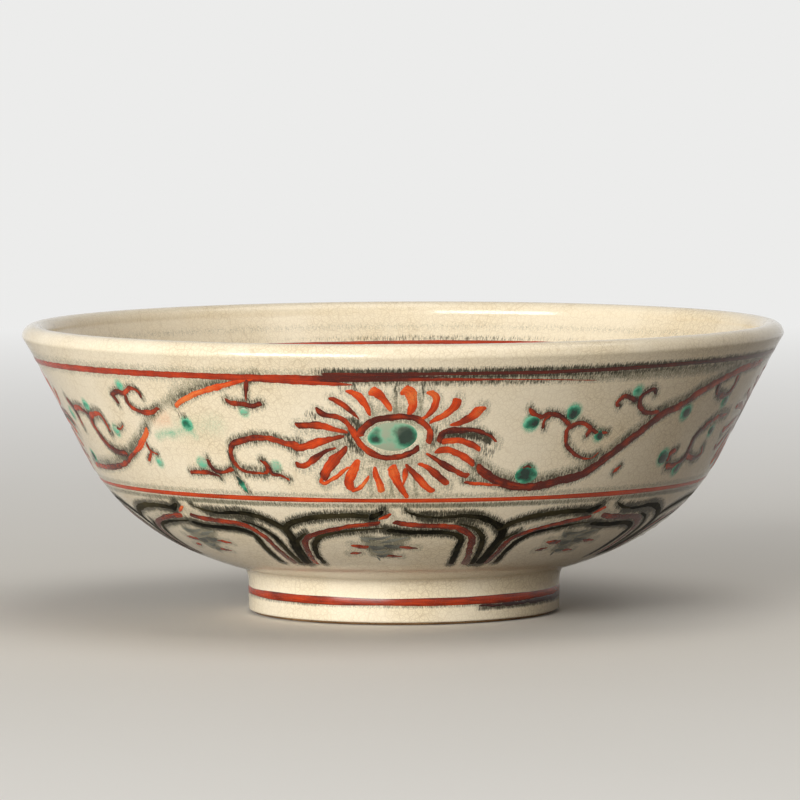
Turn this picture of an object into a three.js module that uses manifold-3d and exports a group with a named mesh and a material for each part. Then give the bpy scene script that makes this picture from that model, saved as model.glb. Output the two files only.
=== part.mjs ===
// A footed tea bowl: a thrown clay wall, a foot ring, glaze coats and raised enamel painting.
import * as THREE from "three";
import { mergeVertices } from "three/addons/utils/BufferGeometryUtils.js";
import Module from "manifold-3d";

const wasm = await Module();
wasm.setup();

// Sizes of the bowl in millimetres. The foot stands on z = 0 and the painted front faces -Y.
const RIM_RADIUS = 75;
const BOWL_HEIGHT = 57;
const LIP_DROP = 2.3; // from the top of the lip down to its widest ring
const LIP_THICKNESS = 4.7;
const WALL_UNDER_LIP = 4;
const WALL_AT_FOOT = 5;
const SHOULDER_RADIUS = 60.6;
const SHOULDER_HEIGHT = 27.9;
const FOOT_RADIUS = 30.7;
const FOOT_HEIGHT = 8.8;
const FOOT_FLARE = 0.7; // how far the join with the belly stands out from the foot
const FOOT_FLARE_HEIGHT = 3;
const FOOT_EDGE = 0.7; // rounding of the edges that the foot stands on
const FOOT_WALL = 4.5; // clay of the foot ring, without its glaze
const WELL_DEPTH = 6.6;
const FLOOR_HEIGHT = 12.2; // the middle of the floor inside
const GLAZE = 0.4;
const BARE_FOOT = 1.3; // height of the unglazed clay above the table

// Angles of the outside in degrees, and how far each bend reaches along its slopes.
const BELLY_ANGLE = 14.4; // above the horizontal, where the belly leaves the foot
const SHOULDER_ANGLE = 4.6; // how much flatter the shoulder is than a straight wall up to the lip
const LIP_ANGLE = 2.8; // how much flatter the wall is just under the lip
const BELLY_REACH = 10.4;
const SHOULDER_REACH_BELOW = 13.4;
const SHOULDER_REACH_ABOVE = 4.9;
const WALL_REACH = 11.3;

// Enamel: how far it stands up, and the clearance under it, where the round wall is made of flats.
const ENAMEL = 0.25;
const ENAMEL_CLEARANCE = 0.15;

// Painted rings: how far each lies below the lip or the shoulder, or above the table, and its width.
const RIM_BAND_DROP = 6.2;
const RIM_BAND_WIDTH = 1.6;
const INNER_BAND_DROP = 9;
const INNER_BAND_WIDTH = 1.2;
const WAIST_BAND_DROP = 1.1;
const WAIST_BAND_WIDTH = 0.9;
const FOOT_BAND_HEIGHT = 4.6;
const FOOT_BAND_WIDTH = 1.5;

// Painted motifs: widths of the brush strokes.
const FLOWER_RING_WIDE = 14; // middle of the ring round the flower's eye, side to side
const FLOWER_RING_TALL = 9.6;
const FLOWER_RING_WIDTH = 1.4;
const PETAL_WIDTH = 2.2;
const EYE_WIDE = 9.4;
const EYE_TALL = 6.4;
const STEM_WIDTH = 1.7;
const TENDRIL_WIDTH = 1.3;
const CURL_WIDTH = 1.5;
const LEAF_LENGTH = 3.4;
const LEAF_WIDTH = 2.2;
const PANEL_OUTLINE_WIDTH = 2;
const PANEL_LINE_WIDTH = 1.2;
const JEWEL_SIZE = 6.4;
const STROKE_TIP = 0.4; // width left at the end of a stroke
const BRANCH_LIFT = 0.07; // a branch lies this much higher than what it grows from

// Layout: flowers and lotus panels repeat round the bowl from these angles, to the right of the front.
const FLOWERS = 4;
const FLOWER_ANGLE = -1.7;
const PANELS = 8;
const PANEL_ANGLE = -2.8;

// Fineness of the turned pieces and of the strokes.
const TURN_SEGMENTS = 40;
const BELLY_STEPS = 6;
const WALL_STEPS = 3;
const LIP_STEPS = 4; // even, so that one step ends on the crest of the lip
const FOOT_STEPS = 2;
const FLOOR_STEPS = 2;
const STROKE_STEP = 3.6;
const DAB_SIDES = 10;
const HALVINGS = 40; // of the search for the spot where a line reaches a height

const COLOURS = {
  clay: 0xa98a6a,
  glaze: 0xe4dac2,
  red: 0xb4431f,
  plum: 0x5c211d,
  green: 0x4a6150,
  black: 0x35302c,
  grey: 0x77776d,
};

const radians = THREE.MathUtils.degToRad;
const finishes = {
  clay: new THREE.MeshStandardMaterial({ color: COLOURS.clay, roughness: 0.9, metalness: 0 }),
};
for (const name of ["glaze", "red", "plum", "green", "black", "grey"]) {
  finishes[name] = new THREE.MeshStandardMaterial({
    color: COLOURS[name],
    roughness: name === "glaze" ? 0.18 : 0.35,
    metalness: 0,
  });
}

const bowl = new THREE.Group();
bowl.name = "tea_bowl";

// Makes a closed solid from loose triangles: joins their corners and turns them to face outwards.
function closedSolid(geometry) {
  for (const name of ["normal", "uv"]) geometry.deleteAttribute(name);
  const merged = mergeVertices(geometry, 1e-3);
  const corners = [];
  const index = merged.index.array;
  for (let i = 0; i < index.length; i += 3) {
    const [a, b, c] = [index[i], index[i + 1], index[i + 2]];
    if (a !== b && b !== c && c !== a) corners.push(a, b, c);
  }
  const build = (triVerts) =>
    new wasm.Manifold(
      new wasm.Mesh({
        numProp: 3,
        vertProperties: merged.attributes.position.array,
        triVerts: new Uint32Array(triVerts),
      }),
    );
  const solid = build(corners);
  if (solid.volume() > 0) return solid;
  return build(corners.reverse());
}

// Adds a solid to the bowl as one named mesh.
function addPiece(name, solid, finish) {
  const mesh = solid.getMesh();
  const geometry = new THREE.BufferGeometry();
  geometry.setAttribute("position", new THREE.BufferAttribute(mesh.vertProperties, 3));
  geometry.setIndex(new THREE.BufferAttribute(mesh.triVerts, 1));
  geometry.computeVertexNormals();
  const piece = new THREE.Mesh(geometry, finish);
  piece.name = name;
  bowl.add(piece);
}

// Turns a closed section of [radius, height] points round the bowl's axis.
function turned(section) {
  const onAxis = section[0].x === 0 && section[section.length - 1].x === 0;
  const points = onAxis ? section : [...section, section[0].clone()];
  const lathe = new THREE.LatheGeometry(points, TURN_SEGMENTS);
  lathe.rotateX(Math.PI / 2);
  return closedSolid(lathe);
}

const at = (radius, height) => new THREE.Vector2(radius, height);

function heading(slope) {
  return at(Math.cos(radians(slope)), Math.sin(radians(slope)));
}

// A bend of the outline that leaves one point on a slope and arrives at another on a slope.
function bend(start, startSlope, startReach, end, endSlope, endReach) {
  const leave = start.clone().addScaledVector(heading(startSlope), startReach);
  const arrive = end.clone().addScaledVector(heading(endSlope), -endReach);
  return new THREE.CubicBezierCurve(start, leave, arrive, end);
}

// Points along a curve, each with the direction that faces out of the clay.
function surfacePoints(curve, steps) {
  const found = [];
  for (let i = 0; i <= steps; i += 1) {
    const along = curve.getTangent(i / steps);
    found.push({ spot: curve.getPoint(i / steps), out: at(along.y, -along.x) });
  }
  return found;
}

function below({ spot, out }, depth) {
  return spot.clone().addScaledVector(out, -depth);
}

const glazed = (points) => points.map((point) => point.spot);
const clay = (points) => points.map((point) => below(point, GLAZE));

// The outline of the outside: foot, belly, wall and lip.
const footJoin = at(FOOT_RADIUS + FOOT_FLARE, FOOT_HEIGHT);
const shoulder = at(SHOULDER_RADIUS, SHOULDER_HEIGHT);
const widest = at(RIM_RADIUS, BOWL_HEIGHT - LIP_DROP);
const straightSlope = THREE.MathUtils.radToDeg(widest.clone().sub(shoulder).angle());
const shoulderSlope = straightSlope - SHOULDER_ANGLE;
const bellyCurve = bend(
  footJoin,
  BELLY_ANGLE,
  BELLY_REACH,
  shoulder,
  shoulderSlope,
  SHOULDER_REACH_BELOW,
);
const wallCurve = bend(
  shoulder,
  shoulderSlope,
  SHOULDER_REACH_ABOVE,
  widest,
  straightSlope - LIP_ANGLE,
  WALL_REACH,
);
const lipCurve = new THREE.EllipseCurve(
  RIM_RADIUS - LIP_THICKNESS / 2,
  BOWL_HEIGHT - LIP_DROP,
  LIP_THICKNESS / 2,
  LIP_DROP,
  0,
  Math.PI,
);
const flareStart = at(FOOT_RADIUS, FOOT_HEIGHT - FOOT_FLARE_HEIGHT);
const footCurve = new THREE.QuadraticBezierCurve(
  flareStart,
  at(FOOT_RADIUS, FOOT_HEIGHT - FOOT_FLARE),
  footJoin,
);

const belly = surfacePoints(bellyCurve, BELLY_STEPS);
const wall = surfacePoints(wallCurve, WALL_STEPS).slice(1);
const lip = surfacePoints(lipCurve, LIP_STEPS);
const outerLip = lip.slice(1, LIP_STEPS / 2 + 1);
const crest = outerLip[outerLip.length - 1];
const innerLip = lip.slice(LIP_STEPS / 2 + 1);
const outside = [...belly, ...wall, ...outerLip];

// The inside follows the outside at the wall's thickness, and the floor is dished to the axis.
function insideOf({ spot, out }) {
  const share = (spot.y - FOOT_HEIGHT) / (widest.y - FOOT_HEIGHT);
  const thickness = THREE.MathUtils.lerp(WALL_AT_FOOT, WALL_UNDER_LIP, share);
  return { spot: below({ spot, out }, thickness), out: out.clone().negate() };
}

const innerWall = [...belly, ...wall.slice(0, -1)].map(insideOf).reverse();
const floorEdge = innerWall[innerWall.length - 1].spot;

function floorPoint(share) {
  const rise = (floorEdge.y - FLOOR_HEIGHT) * share;
  const spot = at(floorEdge.x * share, FLOOR_HEIGHT + rise * share);
  return { spot, out: at((-2 * rise) / floorEdge.x, 1).normalize() };
}

const floor = [];
for (let i = FLOOR_STEPS - 1; i >= 0; i -= 1) floor.push(floorPoint(i / FLOOR_STEPS));
const inside = [crest, ...innerLip, ...innerWall, ...floor];

// The foot: glazed outside down to a bare edge, and a glazed well underneath.
const footSide = [{ spot: at(FOOT_RADIUS, BARE_FOOT), out: at(1, 0) }];
footSide.push(...surfacePoints(footCurve, FOOT_STEPS).slice(0, -1));
const joinClay = below(belly[0], GLAZE);
const footClay = FOOT_RADIUS - GLAZE;
const wellCorner = at(footClay - FOOT_WALL, WELL_DEPTH + GLAZE);
const wellClayFoot = at(wellCorner.x, BARE_FOOT);
const wellRadius = wellCorner.x - GLAZE;

// The two clay pieces, which meet each other and their glaze at shared points.
function addBody() {
  addPiece("bowl_wall", turned([
    at(0, wellCorner.y),
    wellCorner,
    ...clay(outside),
    ...clay(inside.slice(1)),
  ]), finishes.clay);
  addPiece("foot_ring", turned([
    at(wellCorner.x + FOOT_EDGE, 0),
    at(footClay - FOOT_EDGE, 0),
    at(footClay, Math.min(FOOT_EDGE, BARE_FOOT / 2)),
    ...clay(footSide),
    joinClay,
    wellCorner,
    wellClayFoot,
    at(wellCorner.x, Math.min(FOOT_EDGE, BARE_FOOT / 2)),
  ]), finishes.clay);
}

// The four coats of glaze, which leave only the edge of the foot bare.
function addGlaze() {
  addPiece("outer_glaze", turned([
    ...glazed(outside),
    ...clay(outside).reverse(),
  ]), finishes.glaze);
  addPiece("inner_glaze", turned([
    ...glazed(inside).reverse(),
    ...clay(inside),
  ]), finishes.glaze);
  addPiece("foot_glaze", turned([
    ...glazed(footSide),
    footJoin,
    joinClay,
    ...clay(footSide).reverse(),
  ]), finishes.glaze);
  addPiece("foot_well_glaze", turned([
    at(0, WELL_DEPTH),
    at(wellRadius, WELL_DEPTH),
    at(wellRadius, BARE_FOOT),
    wellClayFoot,
    wellCorner,
    at(0, wellCorner.y),
  ]), finishes.glaze);
}

// The painted surface as one line from the foot up, measured along the glaze.
const paintedLine = new THREE.CurvePath();
paintedLine.add(bellyCurve);
paintedLine.add(wallCurve);

// How far along the line a height is reached.
function lengthAtHeight(line, height) {
  const total = line.getLength();
  let low = 0;
  let high = total;
  for (let i = 0; i < HALVINGS; i += 1) {
    const middle = (low + high) / 2;
    if (line.getPoint(middle / total).y < height) low = middle;
    else high = middle;
  }
  return low;
}

// A spot on the line, lifted off the glaze.
function lifted(line, length, lift) {
  const share = THREE.MathUtils.clamp(length / line.getLength(), 0, 1);
  const along = line.getTangent(share);
  return line.getPoint(share).addScaledVector(at(along.y, -along.x), lift);
}

// A spot on the bowl, turned to an angle to the right of the front.
function onBowl(line, length, degrees, lift) {
  const spot = lifted(line, length, lift);
  const angle = radians(degrees);
  return new THREE.Vector3(spot.x * Math.sin(angle), -spot.x * Math.cos(angle), spot.y);
}

const waistBandHeight = SHOULDER_HEIGHT - WAIST_BAND_DROP;
const rimBandHeight = BOWL_HEIGHT - RIM_BAND_DROP;
const waistLength = lengthAtHeight(paintedLine, waistBandHeight);
const rimBandLength = lengthAtHeight(paintedLine, rimBandHeight);

// A field of the painting: marks in it are [degrees from its middle, percent of the way up].
function field(middle, from, to) {
  const spotAt = (length) => lifted(paintedLine, length, 0).x;
  const degreeLength = radians(spotAt((from + to) / 2));
  return {
    flat: ([degrees, percent]) =>
      at(degrees * degreeLength, from + ((to - from) * percent) / 100),
    raised: (flat, side, lift) => {
      const length = flat.y + side.y;
      const degrees = flat.x / degreeLength + side.x / radians(spotAt(length));
      return onBowl(paintedLine, length, middle + degrees, lift);
    },
  };
}

// A solid from a list of triangles, each with three corners.
function fromTriangles(triangles) {
  const geometry = new THREE.BufferGeometry();
  geometry.setFromPoints(triangles.flat());
  geometry.setIndex([...Array(triangles.length * 3).keys()]);
  return closedSolid(geometry);
}

// A brush stroke along marks in a field, with a ridge along its middle and narrow ends.
function stroke(area, marks, width, lift = 0) {
  const line = new THREE.SplineCurve(marks.map(area.flat));
  const steps = Math.max(2, Math.round(line.getLength() / STROKE_STEP));
  const base = ENAMEL_CLEARANCE + lift;
  const sections = [];
  for (let i = 0; i <= steps; i += 1) {
    const share = i / steps;
    const flat = line.getPointAt(share);
    const along = line.getTangentAt(share);
    const swell = Math.sqrt(Math.max(0, Math.sin(Math.PI * share)));
    const half = Math.max(STROKE_TIP, width * swell) / 2;
    const side = at(-along.y * half, along.x * half);
    sections.push([
      area.raised(flat, side, base),
      area.raised(flat, side.clone().negate(), base),
      area.raised(flat, at(0, 0), base + ENAMEL),
    ]);
  }
  const triangles = [sections[0], [...sections[steps]].reverse()];
  for (let i = 0; i < steps; i += 1) {
    const [near, far] = [sections[i], sections[i + 1]];
    for (let k = 0; k < 3; k += 1) {
      const next = (k + 1) % 3;
      triangles.push([near[next], near[k], far[k]], [near[next], far[k], far[next]]);
    }
  }
  return fromTriangles(triangles);
}

// Strokes that grow from each other, painted as one body of enamel.
function strokes(area, list) {
  const [first, ...rest] = list.map(([marks, width, lift]) => stroke(area, marks, width, lift));
  return rest.reduce((whole, branch) => whole.add(branch), first);
}

// A domed dab of enamel round a mark.
function dab(area, mark, wide, tall) {
  const middle = area.flat(mark);
  const foot = area.raised(middle, at(0, 0), ENAMEL_CLEARANCE);
  const top = area.raised(middle, at(0, 0), ENAMEL_CLEARANCE + ENAMEL);
  const edge = [];
  for (let i = 0; i < DAB_SIDES; i += 1) {
    const angle = (2 * Math.PI * i) / DAB_SIDES;
    const side = at((Math.cos(angle) * wide) / 2, (Math.sin(angle) * tall) / 2);
    edge.push(area.raised(middle, side, ENAMEL_CLEARANCE));
  }
  const triangles = edge.flatMap((corner, i) => {
    const next = edge[(i + 1) % DAB_SIDES];
    return [[corner, next, top], [next, corner, foot]];
  });
  return fromTriangles(triangles);
}

// A painted ring right round the bowl, on a line of the glaze.
function band(line, height, width) {
  const length = lengthAtHeight(line, height);
  return turned([
    lifted(line, length - width / 2, ENAMEL_CLEARANCE),
    lifted(line, length + width / 2, ENAMEL_CLEARANCE),
    lifted(line, length, ENAMEL_CLEARANCE + ENAMEL),
  ]);
}

// A ring on the inside, whose glaze is followed from the floor up.
function innerBand(height, width) {
  const ascending = glazed([lip[LIP_STEPS], ...innerWall]).reverse();
  const upper = ascending.findIndex((spot) => spot.y > height);
  const [low, high] = [ascending[upper - 1], ascending[upper]];
  const along = high.clone().sub(low).normalize();
  const inwards = at(-along.y, along.x);
  const middle = low.clone().lerp(high, (height - low.y) / (high.y - low.y));
  const corner = (run, lift) =>
    middle.clone().addScaledVector(along, run).addScaledVector(inwards, lift);
  return turned([
    corner(-width / 2, ENAMEL_CLEARANCE),
    corner(width / 2, ENAMEL_CLEARANCE),
    corner(0, ENAMEL_CLEARANCE + ENAMEL),
  ]);
}

function addBands() {
  const footLine = new THREE.LineCurve(at(FOOT_RADIUS, 0), flareStart);
  const add = (name, ring, finish) => addPiece(name, ring, finishes[finish]);
  add("rim_band", band(paintedLine, rimBandHeight, RIM_BAND_WIDTH), "plum");
  add("waist_band", band(paintedLine, waistBandHeight, WAIST_BAND_WIDTH), "red");
  add("foot_band", band(footLine, FOOT_BAND_HEIGHT, FOOT_BAND_WIDTH), "red");
  add("inner_rim_band", innerBand(BOWL_HEIGHT - INNER_BAND_DROP, INNER_BAND_WIDTH), "red");
}

// Marks of the flower: its middle, and the tips of its petals clockwise from the lower left.
const blossom = {
  middle: [0, 53],
  tips: [
    [-16, 28], [-16.2, 42], [-15.3, 62], [-12, 74], [-9.5, 83], [-6.2, 89], [-2.4, 91],
    [1.6, 91], [5.6, 89], [9.8, 84], [13.7, 76], [16.6, 60], [17, 46], [15.9, 35],
    [14, 26], [12, 18], [9, 11], [5.6, 7], [1.6, 5], [-2.8, 6], [-7.4, 8], [-12.4, 14],
  ],
};

// A flower: a ring of enamel round its eye, with pointed petals growing out of the ring.
function flower(area) {
  const middle = area.flat(blossom.middle);
  const tips = blossom.tips.map((mark) => area.flat(mark).sub(middle));
  const directions = tips.map((tip) => tip.clone().normalize());
  const onRing = (direction, outwards) => {
    const angle = Math.atan2(direction.y / FLOWER_RING_TALL, direction.x / FLOWER_RING_WIDE);
    const reach = (outwards * FLOWER_RING_WIDTH) / 2;
    return at(
      Math.cos(angle) * (FLOWER_RING_WIDE / 2 + reach),
      Math.sin(angle) * (FLOWER_RING_TALL / 2 + reach),
    );
  };
  const low = (side) => area.raised(middle, side, ENAMEL_CLEARANCE);
  const high = (side) => area.raised(middle, side, ENAMEL_CLEARANCE + ENAMEL);
  const notches = directions.map((direction, i) =>
    direction.clone().add(directions[(i + 1) % tips.length]).normalize(),
  );
  const triangles = [];
  const skin = (a, b, c) => triangles.push([high(a), high(b), high(c)], [low(c), low(b), low(a)]);
  const edge = (a, b) => triangles.push([low(a), high(b), high(a)], [low(a), low(b), high(b)]);
  tips.forEach((tip, i) => {
    const before = notches[(i + tips.length - 1) % tips.length];
    const [innerA, innerB] = [onRing(before, -1), onRing(notches[i], -1)];
    const [outerA, outerB] = [onRing(before, 1), onRing(notches[i], 1)];
    const root = outerA.clone().lerp(outerB, 0.5);
    const across = at(-(tip.y - root.y), tip.x - root.x).normalize().multiplyScalar(PETAL_WIDTH / 2);
    const waist = root.clone().lerp(tip, 0.5);
    const [bulgeA, bulgeB] = [waist.clone().add(across), waist.clone().sub(across)];
    skin(innerA, outerA, innerB);
    skin(innerB, outerA, outerB);
    skin(outerA, bulgeA, outerB);
    skin(outerB, bulgeA, bulgeB);
    skin(bulgeA, tip, bulgeB);
    edge(outerA, bulgeA);
    edge(bulgeA, tip);
    edge(tip, bulgeB);
    edge(bulgeB, outerB);
    edge(innerB, innerA);
  });
  return fromTriangles(triangles);
}

// Marks of the vine that climbs from one flower to the next, with its curling tendrils.
const vine = {
  stem: [
    [18.8, 15], [24.2, 10], [30.6, 14], [36.9, 24], [40.9, 38], [45.3, 53], [52.6, 70],
    [58.5, 83], [63, 89], [67, 92],
  ],
  lower: [
    [33.5, 55], [31.7, 60], [29.2, 55], [29.9, 42], [32.4, 33], [36.4, 35], [39.6, 33],
  ],
  lowerTip: [[21.6, 73], [24, 66], [27.2, 67], [30.2, 52]],
  upper: [[44.7, 80], [42.8, 83], [41.8, 75], [44.2, 66], [49.8, 63]],
  upperTip: [[37.9, 72], [38.2, 80], [42.8, 70]],
  leaf: [22.6, 61],
};

// Marks of the large curl at the flower's left, with its small branch and its leaf.
const curl = {
  sweep: [
    [-18.4, 48], [-22.4, 50], [-26.6, 46], [-28.6, 34], [-28, 25], [-25, 21], [-22.2, 26],
  ],
  branch: [[-27.4, 31], [-31.2, 20], [-33.6, 24], [-33.8, 31]],
  leaf: [-27.8, 13],
};

function addFlowerSector(number, area) {
  addPiece(`flower_${number}`, flower(area), finishes.red);
  addPiece(`flower_eye_${number}`, dab(area, blossom.middle, EYE_WIDE, EYE_TALL), finishes.green);
  addPiece(`vine_${number}`, strokes(area, [
    [vine.stem, STEM_WIDTH, 0],
    [vine.lower, TENDRIL_WIDTH, BRANCH_LIFT],
    [vine.lowerTip, TENDRIL_WIDTH, 0],
    [vine.upper, TENDRIL_WIDTH, BRANCH_LIFT],
    [vine.upperTip, TENDRIL_WIDTH, 0],
  ]), finishes.red);
  addPiece(`curl_${number}`, strokes(area, [
    [curl.sweep, CURL_WIDTH, 0],
    [curl.branch, TENDRIL_WIDTH, BRANCH_LIFT],
  ]), finishes.red);
  addPiece(`sprig_leaf_${number}`, dab(area, vine.leaf, LEAF_WIDTH, LEAF_WIDTH), finishes.green);
  addPiece(`curl_leaf_${number}`, dab(area, curl.leaf, LEAF_LENGTH, LEAF_WIDTH), finishes.green);
}

// Marks of a lotus panel: an outline with a cusp, a second line inside it and a jewel.
// Each list runs down the right half, and the left half is its mirror image.
const lotus = {
  outlineCusp: [1, 93],
  outlineSide: [[12, 86], [18.5, 82], [20.6, 73], [20.2, 55], [20, 38]],
  lineCusp: [0.4, 79],
  lineSide: [[8, 75], [13.5, 70], [15.6, 62], [16, 52], [17, 36]],
  jewel: [-0.6, 58],
  pastCusp: [1.6, -1], // how far each half runs on past the cusp, so that the two join
};

const mirrored = (marks) => marks.map(([degrees, percent]) => [-degrees, percent]);

function panelLine(area, cusp, side, width) {
  const [degrees, percent] = cusp;
  const [past, rise] = lotus.pastCusp;
  return strokes(area, [
    [[[degrees - past, percent + rise], cusp, ...side], width, 0],
    [[[degrees + past, percent + rise], cusp, ...mirrored(side)], width, BRANCH_LIFT],
  ]);
}

function addPanel(number, area) {
  const outline = panelLine(area, lotus.outlineCusp, lotus.outlineSide, PANEL_OUTLINE_WIDTH);
  const line = panelLine(area, lotus.lineCusp, lotus.lineSide, PANEL_LINE_WIDTH);
  addPiece(`panel_outline_${number}`, outline, finishes.black);
  addPiece(`panel_line_${number}`, line, finishes.red);
  addPiece(`panel_jewel_${number}`, dab(area, lotus.jewel, JEWEL_SIZE, JEWEL_SIZE), finishes.grey);
}

addBody();
addGlaze();
addBands();
for (let i = 0; i < FLOWERS; i += 1) {
  const middle = FLOWER_ANGLE + (360 * i) / FLOWERS;
  addFlowerSector(i + 1, field(middle, waistLength, rimBandLength));
}
for (let i = 0; i < PANELS; i += 1) {
  const middle = PANEL_ANGLE + (360 * i) / PANELS;
  addPanel(i + 1, field(middle, 0, waistLength));
}

export default bowl;
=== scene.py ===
"""A hand-painted tea bowl on a turned foot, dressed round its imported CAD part.

Lengths are millimetres until a mesh is made, angles round the bowl are degrees from the front,
positive to the viewer's right, and heights on the wall are measured along its curve.
"""
import logging
import math
from dataclasses import dataclass, field
from enum import Enum

import bpy
import numpy as np
from bpy.types import ID, Material, Mesh, NodeSocket, NodeTree, Object
from mathutils import Matrix, Vector


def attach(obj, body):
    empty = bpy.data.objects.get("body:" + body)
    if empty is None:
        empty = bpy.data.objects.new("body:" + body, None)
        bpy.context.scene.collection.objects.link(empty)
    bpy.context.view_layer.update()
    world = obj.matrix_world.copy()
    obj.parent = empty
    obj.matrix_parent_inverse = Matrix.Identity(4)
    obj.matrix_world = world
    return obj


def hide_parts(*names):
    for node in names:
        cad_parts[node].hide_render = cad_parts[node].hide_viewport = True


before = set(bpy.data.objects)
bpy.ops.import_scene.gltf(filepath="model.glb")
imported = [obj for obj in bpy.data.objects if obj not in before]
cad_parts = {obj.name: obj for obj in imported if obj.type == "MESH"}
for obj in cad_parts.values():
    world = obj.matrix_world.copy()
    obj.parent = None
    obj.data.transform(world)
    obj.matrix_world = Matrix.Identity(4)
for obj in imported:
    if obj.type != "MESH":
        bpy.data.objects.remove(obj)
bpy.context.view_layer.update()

log = logging.getLogger("tea_bowl")

MM = 0.001
BODY = "root"
BAKE_MAP = "OFBake"
# The mix node's colour sockets, whose names its other sockets have too.
MIX_A, MIX_B, MIX_RESULT = 6, 7, 2
# How far up the wall's curve the waist line lies.
WAIST = 34.416

Array = np.ndarray
Pair = tuple[float, float]
Floats = tuple[float, ...]
Marks = tuple[Pair, ...]
Cores = tuple[tuple[float, float, float, float], ...]
Paint = str | NodeSocket


def linear(colour: str) -> tuple[float, float, float, float]:
    """Turns an sRGB hex colour into Blender's linear colour.

    Args:
        colour: six hex digits after a hash.

    Returns:
        Red, green, blue and an alpha of one.
    """
    parts = [int(colour[i:i + 2], 16) / 255 for i in (1, 3, 5)]
    curved = [c / 12.92 if c <= 0.04045 else ((c + 0.055) / 1.055) ** 2.4 for c in parts]
    return curved[0], curved[1], curved[2], 1.0


def add_node(tree: NodeTree, kind: str, links: dict | None = None,
             out: int | str = 0, **settings: object) -> NodeSocket | None:
    """Adds a node with its settings, its sockets' values and its links.

    Args:
        tree: the node tree.
        kind: Blender's name for the node, without the ShaderNode that it starts with.
        links: for each input, by name or number, a value or the socket that feeds it.
        out: the output that is wanted, by name or number.
        settings: the node's own properties.

    Returns:
        That output, or None for a node that has none.
    """
    node = tree.nodes.new(f"ShaderNode{kind}")
    for name, value in settings.items():
        setattr(node, name, value)
    for key, value in (links or {}).items():
        if isinstance(value, NodeSocket):
            tree.links.new(value, node.inputs[key])
        else:
            node.inputs[key].default_value = value
    return node.outputs[out] if node.outputs else None


def new_object(data: ID, finish: Material | None = None) -> Object:
    """Puts a mesh, a lamp or a camera in the scene.

    Args:
        data: what it is, which has the name that it gets.
        finish: its material, if it has one.

    Returns:
        The object.
    """
    if finish:
        data.materials.append(finish)
    item = bpy.data.objects.new(data.name, data)
    bpy.context.scene.collection.objects.link(item)
    return item


class Stain(Enum):
    """Colours that sank into the glaze, each kept as one value on the glaze's points."""

    INK = "ink_stain"
    HAZE = "haze_stain"
    GREEN = "green_stain"
    RUST = "rust_stain"


class Brush(Enum):
    """How wide a stroke is at its start, its middle and its end, as shares of its width."""

    EVEN = (0.95, 1.0, 0.9)
    TAIL = (0.9, 1.0, 0.35)
    PETAL = (0.8, 1.05, 0.38)
    CLUB = (1.15, 1.0, 0.45)
    LEAF = (0.42, 1.0, 0.85)
    SWELL = (0.4, 1.0, 1.2)
    DASH = (0.3, 1.0, 0.3)


INK, HAZE, GREEN, RUST = Stain
Stains = dict[Stain, Array]
EVEN, TAIL, PETAL, CLUB, LEAF, SWELL, DASH = Brush


@dataclass(frozen=True)
class Ground:
    """A glazed curve that a brush can follow, from its lowest painted point upwards."""

    line: Array
    normals: Array
    heights: Array
    faces_axis: bool = False

    def radius(self, height: Array) -> Array:
        """Returns the radius at heights along the curve."""
        return np.interp(height, self.heights, self.line[:, 0])

    def place(self, turn: Array, height: Array, lift: Array) -> Array:
        """Finds points on or above the glaze.

        Args:
            turn: angles round the bowl in radians.
            height: heights along the curve.
            lift: distances above the surface.

        Returns:
            The points, one row each.
        """
        at = [np.interp(height, self.heights, column)
              for column in (*self.line.T, *self.normals.T)]
        length = np.hypot(at[2], at[3])
        radius = at[0] + lift * at[2] / length
        level = at[1] + lift * at[3] / length
        return np.stack([radius * np.sin(turn), -radius * np.cos(turn), level], -1)


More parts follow.
